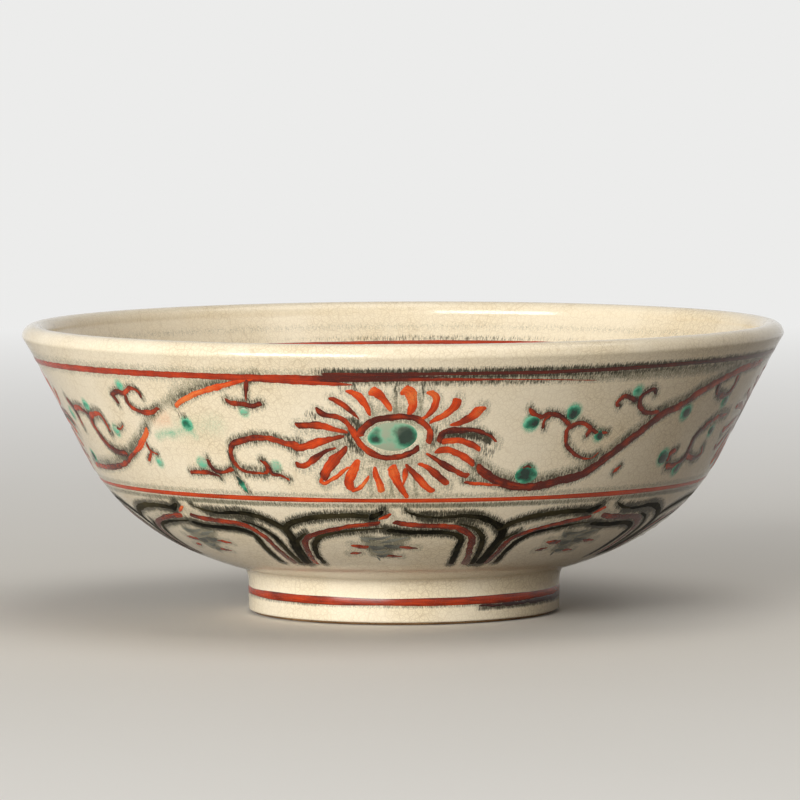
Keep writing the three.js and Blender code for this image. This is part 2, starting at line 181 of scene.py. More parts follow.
@dataclass(frozen=True)
class BowlForm:
    """The turned shape of the bowl, as the CAD part has it."""

    rim_radius: float = 75.0
    bowl_height: float = 57.0
    lip_drop: float = 2.3
    lip_thickness: float = 4.7
    shoulder: Pair = (60.6, 27.9)
    foot_join: Pair = (31.4, 8.8)
    belly_angle: float = 14.4
    shoulder_angle: float = 57.15
    lip_angle: float = 58.95
    belly_reach: float = 10.4
    shoulder_reach_below: float = 13.4
    shoulder_reach_above: float = 4.9
    wall_reach: float = 11.3
    foot_radius: float = 30.7
    foot_flare_start: float = 5.8
    bare_foot: float = 0.55
    glaze_roll: float = 0.35
    join_fillet: float = 1.0
    inside: Marks = ((65.53, 46.32), (60.27, 36.55), (56.75, 30.38), (53.16, 25.94),
                     (49.07, 22.27), (44.58, 19.28), (39.82, 16.89), (34.96, 15.03),
                     (30.16, 13.64), (15.08, 12.56), (0.0, 12.2))
    well_radius: float = 25.4
    well_ceiling: float = 6.6
    step: float = 0.5
    lip_step: float = 0.22

    @staticmethod
    def bezier(points: list[Array], count: int = 400) -> Array:
        """Draws a Bezier curve.

        Args:
            points: its control points.
            count: how many points it is drawn with.

        Returns:
            Those points.
        """
        t = np.linspace(0, 1, count)[:, None]
        while len(points) > 1:
            points = [a * (1 - t) + b * t for a, b in zip(points[:-1], points[1:])]
        return points[0]

    @staticmethod
    def evenly(line: Array, step: float) -> Array:
        """Spaces points evenly along a line.

        Args:
            line: the line.
            step: about how far apart they are.

        Returns:
            The points, the line's two ends among them.
        """
        arc = arc_of(line)
        marks = np.linspace(0, arc[-1], max(2, round(arc[-1] / step) + 1))
        return np.stack([np.interp(marks, arc, column) for column in line.T], -1)

    def wall(self) -> tuple[Array, Array]:
        """Draws the outside of the wall.

        Returns:
            Its line below the shoulder and its line above.
        """
        low, bend = np.array(self.foot_join), np.array(self.shoulder)
        top = np.array([self.rim_radius, self.bowl_height - self.lip_drop])
        lean, slope = heading(self.shoulder_angle), heading(self.lip_angle)
        belly = [low, low + self.belly_reach * heading(self.belly_angle),
                 bend - self.shoulder_reach_below * lean, bend]
        side = [bend, bend + self.shoulder_reach_above * lean, top - self.wall_reach * slope, top]
        return self.bezier(belly), self.bezier(side)

    def lip(self, start: float, end: float) -> Array:
        """Draws the rounded lip.

        Args:
            start: the angle that it starts at, where 90 degrees is its top.
            end: the angle that it ends at.

        Returns:
            Its points.
        """
        turn = np.radians(np.linspace(start, end, 120))
        half = self.lip_thickness / 2
        return np.stack([self.rim_radius - half + half * np.cos(turn),
                         self.bowl_height - self.lip_drop + self.lip_drop * np.sin(turn)], -1)

    def foot_side(self) -> Array:
        """Draws the foot's glazed side.

        Returns:
            Its points, from its bare edge to the corner under the belly.
        """
        start = np.array([self.foot_radius, self.foot_flare_start])
        edge = np.array([self.foot_radius, self.bare_foot])
        roll = self.bezier([edge - (self.glaze_roll, 0), edge + (0, -0.12),
                            edge + (0, self.glaze_roll)], 30)
        flare = self.bezier([start, start + (0, (self.foot_join[1] - start[1]) / 2),
                             np.array(self.foot_join)], 60)
        straight = np.stack([np.full(40, self.foot_radius),
                             np.linspace(edge[1] + self.glaze_roll, start[1], 40)], -1)
        return np.vstack([roll, straight[1:], flare[1:]])

    def skins(self) -> dict[str, tuple[Array, Array]]:
        """Cuts the glazed line into the foot's, the wall's and the inside's glaze.

        Returns:
            For each skin its points and its normals, from the foot up and in to the middle.
        """
        belly, side = self.wall()
        foot = self.foot_side()
        foot_arc, belly_arc = arc_of(foot), arc_of(belly)
        cut_foot = foot[foot_arc < foot_arc[-1] - self.join_fillet]
        cut_belly = belly[belly_arc > self.join_fillet]
        corner = self.bezier([cut_foot[-1], np.array(self.foot_join), cut_belly[0]], 40)
        inside = smooth_line(np.array([(self.rim_radius - self.lip_thickness,
                                        self.bowl_height - self.lip_drop), *self.inside]))
        parts = [
            self.evenly(np.vstack([cut_foot, corner[1:]]), self.step / 2),
            self.evenly(cut_belly, self.step),
            self.evenly(side, self.step),
            self.evenly(self.lip(0, 90), self.lip_step),
            self.evenly(self.lip(90, 180), self.lip_step),
            self.evenly(inside, self.step),
        ]
        whole = np.vstack([parts[0], *[part[1:] for part in parts[1:]]])
        normals = normals_of(whole)
        normals[-1] = (0, 1)
        cuts = np.cumsum([len(parts[0])] + [len(part) - 1 for part in parts[1:]]) - 1
        spans = {"foot": (0, cuts[0]), "outside": (cuts[0], cuts[3]), "inside": (cuts[3], cuts[5])}
        return {name: (whole[a:b + 1], normals[a:b + 1]) for name, (a, b) in spans.items()}

    def outer_ground(self) -> Ground:
        """Returns the painted wall, measured from its join with the foot."""
        belly, side = self.wall()
        line = self.evenly(np.vstack([belly, side[1:], self.lip(0, 90)[1:]]), 0.2)
        return Ground(line, normals_of(line), arc_of(line))

    def inner_ground(self) -> Ground:
        """Returns the inside of the wall, measured in height above the table."""
        line = self.skins()["inside"][0][::-1]
        return Ground(line, -normals_of(line), line[:, 1], faces_axis=True)

    def foot_ground(self) -> Ground:
        """Returns the foot's side, measured in height above the table."""
        line = self.foot_side()[30:]
        return Ground(line, normals_of(line), line[:, 1])


def heading(degrees: float) -> Array:
    """Returns the unit step at an angle above outwards."""
    return np.array([math.cos(math.radians(degrees)), math.sin(math.radians(degrees))])


def arc_of(line: Array) -> Array:
    """Returns the length along a line at each of its points."""
    return np.concatenate([[0], np.cumsum(np.hypot(*np.diff(line, axis=0).T))])


def normals_of(line: Array) -> Array:
    """Returns the normals to the right of a line's run."""
    along = np.gradient(line, arc_of(line), axis=0)
    side = np.stack([along[:, 1], -along[:, 0]], -1)
    return side / np.linalg.norm(side, axis=1)[:, None]


def smooth_line(points: Array, count: int = 14) -> Array:
    """Runs a smooth curve through points.

    Args:
        points: the points, one row each.
        count: how many samples each stretch gets.

    Returns:
        The curve's points, the first and last given ones among them.
    """
    if len(points) < 3:
        return np.stack([np.linspace(a, b, count) for a, b in zip(*points)], -1)
    ends = [2 * points[0] - points[1]], [2 * points[-1] - points[-2]]
    p = np.vstack([ends[0], points, ends[1]])
    t = np.linspace(0, 1, count, endpoint=False)[:, None]
    runs = []
    for a, b, c, d in zip(p[:-3], p[1:-2], p[2:-1], p[3:]):
        runs.append(0.5 * (2 * b + (c - a) * t + (2 * a - 5 * b + 4 * c - d) * t ** 2
                           + (3 * b - a - 3 * c + d) * t ** 3))
    return np.vstack([*runs, points[-1:]])


@dataclass(frozen=True)
class Area:
    """A stretch of the wall that a motif is marked out on: degrees across, percent up."""

    ground: Ground
    middle: float
    low: float
    high: float
    sample: float = 0.3

    def spot(self, mark: Pair) -> Pair:
        """Returns a mark's angle in radians and its height along the wall."""
        return (math.radians(self.middle + mark[0]),
                self.low + (self.high - self.low) * mark[1] / 100)

    def path(self, marks: Marks) -> Array:
        """Draws a smooth path through marks.

        Args:
            marks: the marks in degrees and percent.

        Returns:
            Angles in radians and heights, one row for each sample.
        """
        spots = np.array([self.spot(mark) for mark in marks])
        radius = self.ground.radius(spots[:, 1].mean())
        flat = smooth_line(spots * (radius, 1))
        return BowlForm.evenly(flat, self.sample) / (radius, 1)


@dataclass
class StainedWall:
    """The wall's glaze as a grid, with how much of each colour sank into it."""

    line: Array
    heights: Array
    columns: int = 960
    overlap: float = 0.3
    samples: int = 30
    layers: Stains = field(default_factory=dict)

    def __post_init__(self) -> None:
        """Starts every layer clean."""
        for layer in Stain:
            self.layers[layer] = np.zeros((self.columns, len(self.heights)))

    def soak(self, layer: Stain, path: Array, reach: float, spread: float,
             strength: float = 1.0, shift: Pair = (0.0, 0.0), stretch: float = 1.6) -> None:
        """Lets colour sink in along a path.

        Args:
            layer: the colour.
            path: angles in radians and heights.
            reach: how far from the path the colour is full.
            spread: how much further it fades out.
            strength: how full it is.
            shift: how far the colour ran from the path, rightwards and upwards.
            stretch: how much further it ran up and down the wall than sideways.
        """
        pitch = math.tau / self.columns
        margin = reach + spread
        for start in range(0, len(path), self.samples):
            turn, height = path[start:start + self.samples + 1].T
            height = height + shift[1]
            rows = np.nonzero((self.heights > height.min() - margin * stretch)
                              & (self.heights < height.max() + margin * stretch))[0]
            if not len(rows):
                continue
            radius = self.line[rows, 0]
            turn = turn + shift[0] / radius.mean()
            wide = margin / radius.min()
            columns = np.arange(math.floor((turn.min() - wide) / pitch),
                                math.ceil((turn.max() + wide) / pitch) + 1)
            aside = (columns[:, None, None] * pitch - turn) * radius[None, :, None]
            above = (self.heights[rows][None, :, None] - height) / stretch
            gap = np.sqrt((aside ** 2 + above ** 2).min(-1))
            full = np.clip(1 - (gap - reach) / spread, 0, 1) * strength
            grid = np.ix_(columns % self.columns, rows)
            old = self.layers[layer][grid]
            both = self.overlap * np.minimum(old, full)
            self.layers[layer][grid] = np.maximum(old, full) + both

    def ring(self, layer: Stain, height: float, reach: float, spread: float,
             strength: Array) -> None:
        """Lets colour sink in all round the bowl.

        Args:
            layer: the colour.
            height: how far up the wall it is.
            reach: how far from there it is full.
            spread: how much further it fades out.
            strength: how full it is in each column.
        """
        gap = np.abs(self.heights - height)
        full = np.clip(1 - (gap - reach) / spread, 0, 1)[None, :] * strength[:, None]
        self.layers[layer] = np.maximum(self.layers[layer], full)

    def around(self) -> Array:
        """Returns the columns' angles in degrees, from -180 up."""
        turn = np.arange(self.columns) * 360 / self.columns
        return (turn + 180) % 360 - 180


@dataclass(frozen=True)
class Feather:
    """Where the dark underglaze shows beside a stroke."""

    layer: Stain
    shift: Pair
    spread: float
    strength: float


Feathers = tuple[Feather, ...]


@dataclass
class EnamelWork:
    """Strokes and dabs of enamel that make up one painted piece."""

    ground: Ground
    dome: float = 0.09
    sunk: float = 0.008
    across: int = 7
    brush_pull: float = 4.0
    brush_hair: float = 0.22
    loaded: float = 0.28
    chisel: float = 0.9
    seed: int = 1
    points: list[Array] = field(default_factory=list)
    faces: list[tuple[int, ...]] = field(default_factory=list)
    values: list[Array] = field(default_factory=list)
    pulls: list[Array] = field(default_factory=list)
    total: int = 0

    def stroke(self, path: Array, width: float | Array, brush: Brush = Brush.EVEN,
               tone: float = 0.6, smoke: float | Array = 0.0, ragged: float = 0.08,
               closed: bool = False, thickness: float | None = None) -> None:
        """Lays one domed stroke with rounded ends on the glaze.

        Args:
            path: angles in radians and heights.
            width: the stroke's full width, for the whole or for each sample.
            brush: how the width changes along it.
            tone: how bright the enamel is, from 0 to 1.
            smoke: how much dark underglaze lies under it.
            ragged: how far its edges wander.
            closed: whether the stroke runs right round the bowl.
            thickness: how high its middle stands, or None for the piece's usual height.
        """
        rng = np.random.default_rng(self.seed * 1000 + len(self.points))
        turn, height = path.T
        radius = self.ground.radius(height)
        step = np.stack([np.gradient(turn) * radius, np.gradient(height)], -1)
        length = np.linalg.norm(step, axis=1)
        step /= length[:, None]
        along = np.cumsum(length) - length[0]
        share = along / along[-1]
        half = np.broadcast_to(np.asarray(width, float) / 2, share.shape).copy()
        if not closed:
            half *= np.interp(share, (0, 0.45, 1), brush.value)
            cap = np.maximum(half.max() * 0.5, 0.15)
            half *= 1 + 0.09 * np.sin(along * 2.3 + self.seed) * np.sin(along * 0.9 + 2)
            ends = np.minimum(along + 0.06, along[-1] - along + 0.06)
            half *= np.sqrt(np.clip(1 - (1 - np.minimum(ends / cap, 1)) ** 2, 0.02, 1))
        wander = [np.convolve(rng.normal(size=len(turn) + 4), np.full(5, 0.4), "valid")
                  for _ in range(2)]
        if closed:
            wander = [w * np.sin(share * math.pi) for w in wander]
        edges = np.maximum(half[:, None] + ragged * np.stack(wander, -1), half[:, None] * 0.4)
        side = np.linspace(-1, 1, self.across)
        reach = np.where(side < 0, edges[:, :1], edges[:, 1:]) * side
        near_ends = np.clip(1 - np.stack([along, along[-1] - along], -1) / half.max() / 1.5, 0, 1)
        slant = near_ends @ rng.uniform(-self.chisel, self.chisel, 2) * (not closed)
        skew = slant[:, None] * reach
        spot_turn = turn[:, None] + (step[:, :1] * skew - step[:, 1:] * reach) / radius[:, None]
        spot_height = height[:, None] + step[:, 1:] * skew + step[:, :1] * reach
        full = (half / max(half.max(), 1e-6))[:, None] * (1 - side ** 2)
        high = self.dome if thickness is None else thickness
        count = len(turn) * self.across
        self.points.append(self.ground.place(spot_turn, spot_height,
                                             full * (high + self.sunk) - self.sunk).reshape(-1, 3))
        smoky = np.broadcast_to(np.asarray(smoke, float), share.shape)
        phase, turns = rng.uniform(0, math.tau), rng.uniform(0.5, 1.1)
        run = self.loaded * np.sin(math.tau * share * turns + phase) * (not closed)
        self.values.append(np.stack([np.tile(side, len(turn)), np.repeat(tone + run, self.across),
                                     np.repeat(smoky, self.across)], -1))
        round_turn = np.stack([np.cos(turn), np.sin(turn)], -1) * radius[:, None]
        pull = round_turn if closed else np.stack([along, np.full(len(turn), tone * 90)], -1)
        self.pulls.append(np.stack([np.repeat(pull[:, 0] / self.brush_pull, self.across),
                                    np.repeat(pull[:, 1] / self.brush_pull, self.across),
                                    (reach / self.brush_hair).reshape(-1)], -1))
        self.knit(len(turn), closed)

    def knit(self, rows: int, closed: bool) -> None:
        """Joins the last stroke's rows into a closed skin.

        Args:
            rows: how many rows it has.
            closed: whether its last row meets its first.
        """
        wide, base = self.across, self.total
        for i in range(rows if closed else rows - 1):
            a, b = base + i * wide, base + (i + 1) % rows * wide
            self.faces.extend((a + j, b + j, b + j + 1, a + j + 1) for j in range(wide - 1))
            self.faces.append((a + wide - 1, b + wide - 1, b, a))
        if not closed:
            last = base + (rows - 1) * wide
            self.faces.append(tuple(range(base, base + wide)))
            self.faces.append(tuple(range(last + wide - 1, last - 1, -1)))
        self.total += rows * wide

    def dab(self, spot: Pair, size: Pair, height: float = 0.2, tone: float = 0.5,
            lumpy: float = 0.08, cores: Cores = (), milk: float = 0.0) -> None:
        """Lays a rounded drop of enamel on the glaze.

        Args:
            spot: its middle's angle in radians and height.
            size: its width and its height along the wall.
            height: how far its middle stands up.
            tone: how bright the enamel is, from 0 to 1.
            lumpy: how far its outline is from an ellipse.
            cores: darker places in it, each across, up, how wide and how dark.
            milk: how clouded the enamel is, from 0 to 1.
        """
        rng = np.random.default_rng(self.seed * 1000 + 500 + len(self.points))
        ways = np.linspace(0, math.tau, 40, endpoint=False)
        rings = np.array([0.0, 0.14, 0.28, 0.42, 0.55, 0.67, 0.77, 0.86, 0.93, 0.975, 1.0])
        outline = 1 + sum(lumpy / (k + 1) * np.cos((k + 2) * ways + rng.uniform(0, math.tau))
                          for k in range(4))
        flat = np.stack([np.cos(ways) * size[0] / 2, np.sin(ways) * size[1] / 2], -1)
        reach = flat[None] * outline[None, :, None] * rings[1:, None, None]
        reach = np.vstack([np.zeros((1, 2)), reach.reshape(-1, 2)])
        far = np.concatenate([[0.0], np.repeat(rings[1:], len(ways))])
        radius = self.ground.radius(spot[1])
        lift = (1 - far ** 2) ** 0.7 * (height + self.sunk) - self.sunk
        self.points.append(self.ground.place(spot[0] + reach[:, 0] / radius,
                                             spot[1] + reach[:, 1], lift))
        tones, clear = np.full(len(far), tone), np.zeros(len(far))
        for across, up, wide, depth in cores:
            near = np.clip(1 - np.hypot(reach[:, 0] - across, reach[:, 1] - up) / wide, 0, 1)
            tones -= depth * near ** 2 * (3 - 2 * near)
            clear = np.maximum(clear, near * depth)
        milky = milk * (1.0 - 0.94 * np.clip(clear, 0, 1))
        self.values.append(np.stack([far, tones, milky], -1))
        self.pulls.append(np.column_stack([reach / self.brush_hair / 4,
                                           np.full(len(far), tone * 90)]))
        base, many = self.total, len(ways)
        for j in range(many):
            k = (j + 1) % many
            self.faces.append((base, base + 1 + j, base + 1 + k))
            for i in range(len(rings) - 2):
                low, high = base + 1 + i * many, base + 1 + (i + 1) * many
                self.faces.append((low + j, high + j, high + k, low + k))
        rim = base + 1 + (len(rings) - 2) * many
        self.faces.append(tuple(rim + j for j in range(many - 1, -1, -1)))
        self.total += len(far)

    def make(self, name: str, finish: Material) -> Object:
        """Makes the strokes and dabs one mesh.

        Args:
            name: the piece's name.
            finish: its enamel.

        Returns:
            The piece.
        """
        faces = [face[::-1] for face in self.faces] if self.ground.faces_axis else self.faces
        mesh = bpy.data.meshes.new(name)
        mesh.from_pydata((np.vstack(self.points) * MM).tolist(), [], faces)
        mesh.shade_smooth()
        mesh.set_sharp_from_angle(angle=math.radians(70))
        values = np.vstack(self.values)
        for column, label in enumerate(("edge", "tone", "smoke")):
            layer = mesh.attributes.new(label, "FLOAT", "POINT")
            layer.data.foreach_set("value", values[:, column].astype(np.float32))
        pull = mesh.attributes.new("pull", "FLOAT_VECTOR", "POINT")
        pull.data.foreach_set("vector", np.vstack(self.pulls).astype(np.float32).ravel())
        return new_object(mesh, finish)


def seat(piece: Object, slot: str, *nodes: str) -> Object:
    """Puts a piece on the bowl's body and reports it.

    Args:
        piece: the piece.
        slot: the finish that it has in the part; not used.
        nodes: the CAD nodes that it stands in for.

    Returns:
        The piece.
    """
    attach(piece, BODY)
    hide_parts(*nodes)
    log.info("%s: %d faces, for %s", piece.name, len(piece.data.polygons), ", ".join(nodes))
    return piece


def new_material(name: str) -> tuple[Material, NodeTree, NodeSocket]:
    """Starts a node material.

    Args:
        name: the material's name.

    Returns:
        The material, its tree, and in it the place on the object in metres.
    """
    material = bpy.data.materials.new(name)
    material.use_nodes = True
    tree = material.node_tree
    tree.nodes.clear()
    return material, tree, add_node(tree, "TexCoord", out="Object")


def coats(tree: NodeTree, base: Paint, *layers: tuple[NodeSocket, Paint]) -> NodeSocket:
    """Lays colours over a first one, each as far as its share says.

    Args:
        tree: the node tree.
        base: the first colour, as hex or a socket.
        layers: shares and colours, from the lowest up.

    Returns:
        The colour that they make together.
    """
    for share, colour in layers:
        first, second = (linear(c) if isinstance(c, str) else c for c in (base, colour))
        base = add_node(tree, "Mix", {"Factor": share, MIX_A: first, MIX_B: second}, MIX_RESULT,
                        data_type="RGBA")
    return base


def evened(tree: NodeTree, vector: NodeSocket, scale: float, detail: float) -> NodeSocket:
    """Makes noise whose values fill the whole range from 0 to 1.

    Args:
        tree: the node tree.
        vector: where the noise is read.
        scale: how many of its lumps fit into a unit.
        detail: how much finer noise lies on it.

    Returns:
        The noise.
    """
    noise = add_node(tree, "TexNoise", {"Vector": vector, "Scale": scale, "Detail": detail})
    return add_node(tree, "MapRange", {"Value": noise, "From Min": 0.32, "From Max": 0.68})


@dataclass(frozen=True)
class Finish:
    """What all finishes share: one surface, shaded by what each of them is."""

    def shade(self, tree: NodeTree, place: NodeSocket) -> dict[str, object]:
        """Builds the finish's patterns.

        Args:
            tree: the material's nodes.
            place: the place on the object in metres.

        Returns:
            For each input of the surface that it sets, a value or a socket.
        """
        raise NotImplementedError

    def make(self, name: str) -> Material:
        """Builds the finish.

        Args:
            name: the material's name.

        Returns:
            The material.
        """
        material, tree, place = new_material(name)
        surface = add_node(tree, "BsdfPrincipled", self.shade(tree, place))
        add_node(tree, "OutputMaterial", {"Surface": surface})
        return material


@dataclass(frozen=True)
class CrazedIvoryGlaze(Finish):
    """Clear glaze over white slip, fired glossy, which crazed as it cooled.

    The eye gets a warm ivory with a net of fine tan cracks, a wet shine that ripples a little,
    and underglaze pigment that ran into hairs along the wall.
    """

    body: str = "#f5e9d0"
    pooled: str = "#ecdcbb"
    craze: str = "#a98f66"
    ink: str = "#12110b"
    thin_ink: str = "#434030"
    haze: str = "#6f6e58"
    green: str = "#48b38c"
    rust: str = "#e8924f"
    craze_cell: float = 1.4
    fine_cell: float = 0.66
    fine_depth: float = 0.6
    crack: float = 0.085
    bend_cell: float = 2.2
    bend: float = 0.9
    cloud: float = 17.0
    hair_wide: float = 0.22
    hair_long: float = 1.1
    grain: float = 0.27
    ripple: float = 9.0
    ripple_depth: float = 0.4
    groove_depth: float = 0.07
    roughness: float = 0.06
    dulled: float = 0.3

    def shade(self, tree: NodeTree, place: NodeSocket) -> dict[str, object]:
        """Builds the glaze's patterns.

        Args:
            tree: the material's nodes.
            place: the place on the object in metres.

        Returns:
            For each input of the surface that it sets, a value or a socket.
        """
        per_mm = 1 / MM
        clouds = add_node(tree, "TexNoise", {
            "Vector": place, "Scale": per_mm / self.cloud, "Detail": 3.0})
        cloudy = add_node(tree, "MapRange", {
            "Value": clouds, "From Min": 0.4, "From Max": 0.68, "To Max": 0.7})
        bend = add_node(tree, "TexNoise", {
            "Vector": place, "Scale": per_mm / self.bend_cell, "Detail": 1.0}, "Color")
        bent = add_node(tree, "VectorMath", {
            0: bend, 1: (self.bend * MM,) * 3, 2: place}, operation="MULTIPLY_ADD")
        cracks = add_node(tree, "Math", {
            0: self.cracked(tree, bent, self.craze_cell, 1.0),
            1: self.cracked(tree, bent, self.fine_cell, self.fine_depth)}, operation="MAXIMUM")
        patches = add_node(tree, "MapRange", {
            "Value": clouds, "From Min": 0.35, "From Max": 0.65, "To Min": 0.16, "To Max": 0.42})
        crazed = add_node(tree, "Math", {0: cracks, 1: patches}, operation="MULTIPLY")
        unrolled = add_node(tree, "Attribute", out="Vector", attribute_name="unrolled")
        hair_grid = add_node(tree, "VectorMath", {
            0: unrolled, 1: (1 / self.hair_wide, 1 / self.hair_wide, 1 / self.hair_long)},
            operation="MULTIPLY")
        hairs = evened(tree, hair_grid, 1.0, 2.0)
        grains = evened(tree, place, per_mm / self.grain, 1.0)
        mottle = add_node(tree, "Mix", {"Factor": 0.5, "A": grains, "B": hairs},
                          data_type="FLOAT")
        inked = self.soaked(tree, INK, hairs, 0.8, 0.94)
        base = coats(
            tree, self.body, (cloudy, self.pooled), (crazed, self.craze),
            (self.soaked(tree, RUST, grains, 2.2, 1.0, 1.0), self.rust),
            (self.soaked(tree, GREEN, grains, 2.0, 1.1, 1.0), self.green),
            (self.soaked(tree, HAZE, mottle, 1.0, 0.85), self.haze),
            (inked, coats(tree, self.ink, (grains, self.thin_ink))))
        dull = add_node(tree, "Math", {0: inked, 1: crazed}, operation="MAXIMUM")
        gloss = add_node(tree, "MapRange", {
            "Value": dull, "To Min": self.roughness, "To Max": self.roughness + self.dulled})
        shine = add_node(tree, "MapRange", {"Value": inked, "To Min": 0.5, "To Max": 0.18})
        waves = add_node(tree, "TexNoise", {
            "Vector": place, "Scale": per_mm / self.ripple, "Detail": 1.0})
        rippled = add_node(tree, "Bump", {
            "Height": waves, "Strength": 0.12, "Distance": self.ripple_depth * MM})
        grooved = add_node(tree, "Bump", {
            "Height": crazed, "Normal": rippled, "Strength": 0.4,
            "Distance": self.groove_depth * MM}, invert=True)
        return {"Base Color": base, "Roughness": gloss, "Normal": grooved, "IOR": 1.52,
                "Specular IOR Level": shine}

    def cracked(self, tree: NodeTree, vector: NodeSocket, cell: float,
                depth: float) -> NodeSocket:
        """Makes a net of cracks.

        Args:
            tree: the node tree.
            vector: where the net is read.
            cell: how many millimetres a cell of glaze between cracks measures.
            depth: how deep the cracks are, from 0 to 1.

        Returns:
            The depth, which is nought inside the cells.
        """
        away = add_node(tree, "TexVoronoi", {
            "Vector": vector, "Scale": 1 / MM / cell, "Randomness": 0.9},
            feature="DISTANCE_TO_EDGE")
        return add_node(tree, "MapRange", {
            "Value": away, "From Min": self.crack / cell * 0.2, "From Max": self.crack / cell,
            "To Min": depth, "To Max": 0.0})

    @staticmethod
    def soaked(tree: NodeTree, layer: Stain, noise: NodeSocket, soft: float,
               most: float, rise: float = 0.2) -> NodeSocket:
        """Finds how much of a stain shows, which is where it is stronger than the noise.

        Args:
            tree: the node tree.
            layer: the stain.
            noise: the pattern that breaks the stain up.
            soft: how gradual its edge is.
            most: how much it may cover.
            rise: how strong the stain is where it stops fading out.

        Returns:
            The share that shows.
        """
        least = 0.02
        amount = add_node(tree, "Attribute", out="Fac", attribute_name=layer.value)
        over = add_node(tree, "Math", {0: amount, 1: noise}, operation="SUBTRACT")
        shown = add_node(tree, "MapRange", {
            "Value": over, "From Min": least - soft / 2, "From Max": least + soft / 2,
            "To Max": most})
        present = add_node(tree, "MapRange", {"Value": amount, "From Min": least, "From Max": rise})
        return add_node(tree, "Math", {0: shown, 1: present}, operation="MULTIPLY",
                        use_clamp=True)


@dataclass(frozen=True)
class IronEnamel(Finish):
    """Iron-oxide overglaze enamel, brushed on and fused in the muffle kiln.

    The eye gets a glossy orange-red that turns brown where the brush left it thick, streaks
    along the brush's pull, darker edges and grains of black.
    """

    thin: str = "#ec7c3c"
    bright: str = "#dc4814"
    deep: str = "#601a0a"
    smoke: str = "#2c1413"
    grain: str = "#24120e"
    roughness: float = 0.16
    dulled: float = 0.12
    grain_size: float = 0.2
    grains: float = 0.4
    patch: float = 2.3
    patchy: float = 0.6
    streaky: float = 0.4
    streak_depth: float = 0.03
    edge_dark: float = 0.5
    ior: float = 1.45

    def shade(self, tree: NodeTree, place: NodeSocket) -> dict[str, object]:
        """Builds the enamel's patterns.

        Args:
            tree: the material's nodes.
            place: the place on the object in metres.

        Returns:
            For each input of the surface that it sets, a value or a socket.
        """
        side, tone, smoke = (add_node(tree, "Attribute", out="Fac", attribute_name=label)
                             for label in ("edge", "tone", "smoke"))
        pull = add_node(tree, "Attribute", out="Vector", attribute_name="pull")
        edge = add_node(tree, "Math", {0: side}, operation="ABSOLUTE")
        rim = add_node(tree, "Math", {0: edge, 1: 3.0}, operation="POWER")
        streaks = evened(tree, pull, 1.0, 2.0)
        grains = evened(tree, place, 1 / MM / self.grain_size, 1.0)
        patches = evened(tree, place, 1 / MM / self.patch, 2.0)
        level = tone
        for pattern, share in ((streaks, self.streaky), (patches, self.patchy),
                               (rim, -self.edge_dark)):
            level = add_node(tree, "Math", {0: pattern, 1: share, 2: level},
                             operation="MULTIPLY_ADD")
        brightened = add_node(tree, "MapRange", {
            "Value": level, "From Min": 0.3, "From Max": 1.35})
        sheer = add_node(tree, "MapRange", {"Value": level, "From Min": 1.35, "From Max": 2.05})
        thinned = add_node(tree, "MapRange", {
            "Value": patches, "From Min": 0.15, "From Max": 0.85, "To Min": 1.5, "To Max": 0.55})
        smoky = add_node(tree, "Math", {0: smoke, 1: thinned}, operation="MULTIPLY",
                         use_clamp=True)
        combed = add_node(tree, "MapRange", {"Value": streaks, "To Min": 1.0, "To Max": 0.72})
        combed_smoke = add_node(tree, "Math", {0: smoky, 1: combed}, operation="MULTIPLY")
        speck_edge = add_node(tree, "Math", {0: edge, 1: 0.16, 2: grains},
                              operation="MULTIPLY_ADD")
        specks = add_node(tree, "MapRange", {
            "Value": speck_edge, "From Min": 0.82, "From Max": 1.02, "To Max": self.grains})
        base = coats(tree, self.deep, (brightened, self.bright), (sheer, self.thin),
                     (combed_smoke, self.smoke), (specks, self.grain))
        gloss = add_node(tree, "MapRange", {
            "Value": grains, "To Min": self.roughness, "To Max": self.roughness + self.dulled})
        bumped = add_node(tree, "Bump", {
            "Height": streaks, "Strength": 0.2, "Distance": self.streak_depth * MM})
        return {"Base Color": base, "Roughness": gloss, "Normal": bumped, "IOR": self.ior}


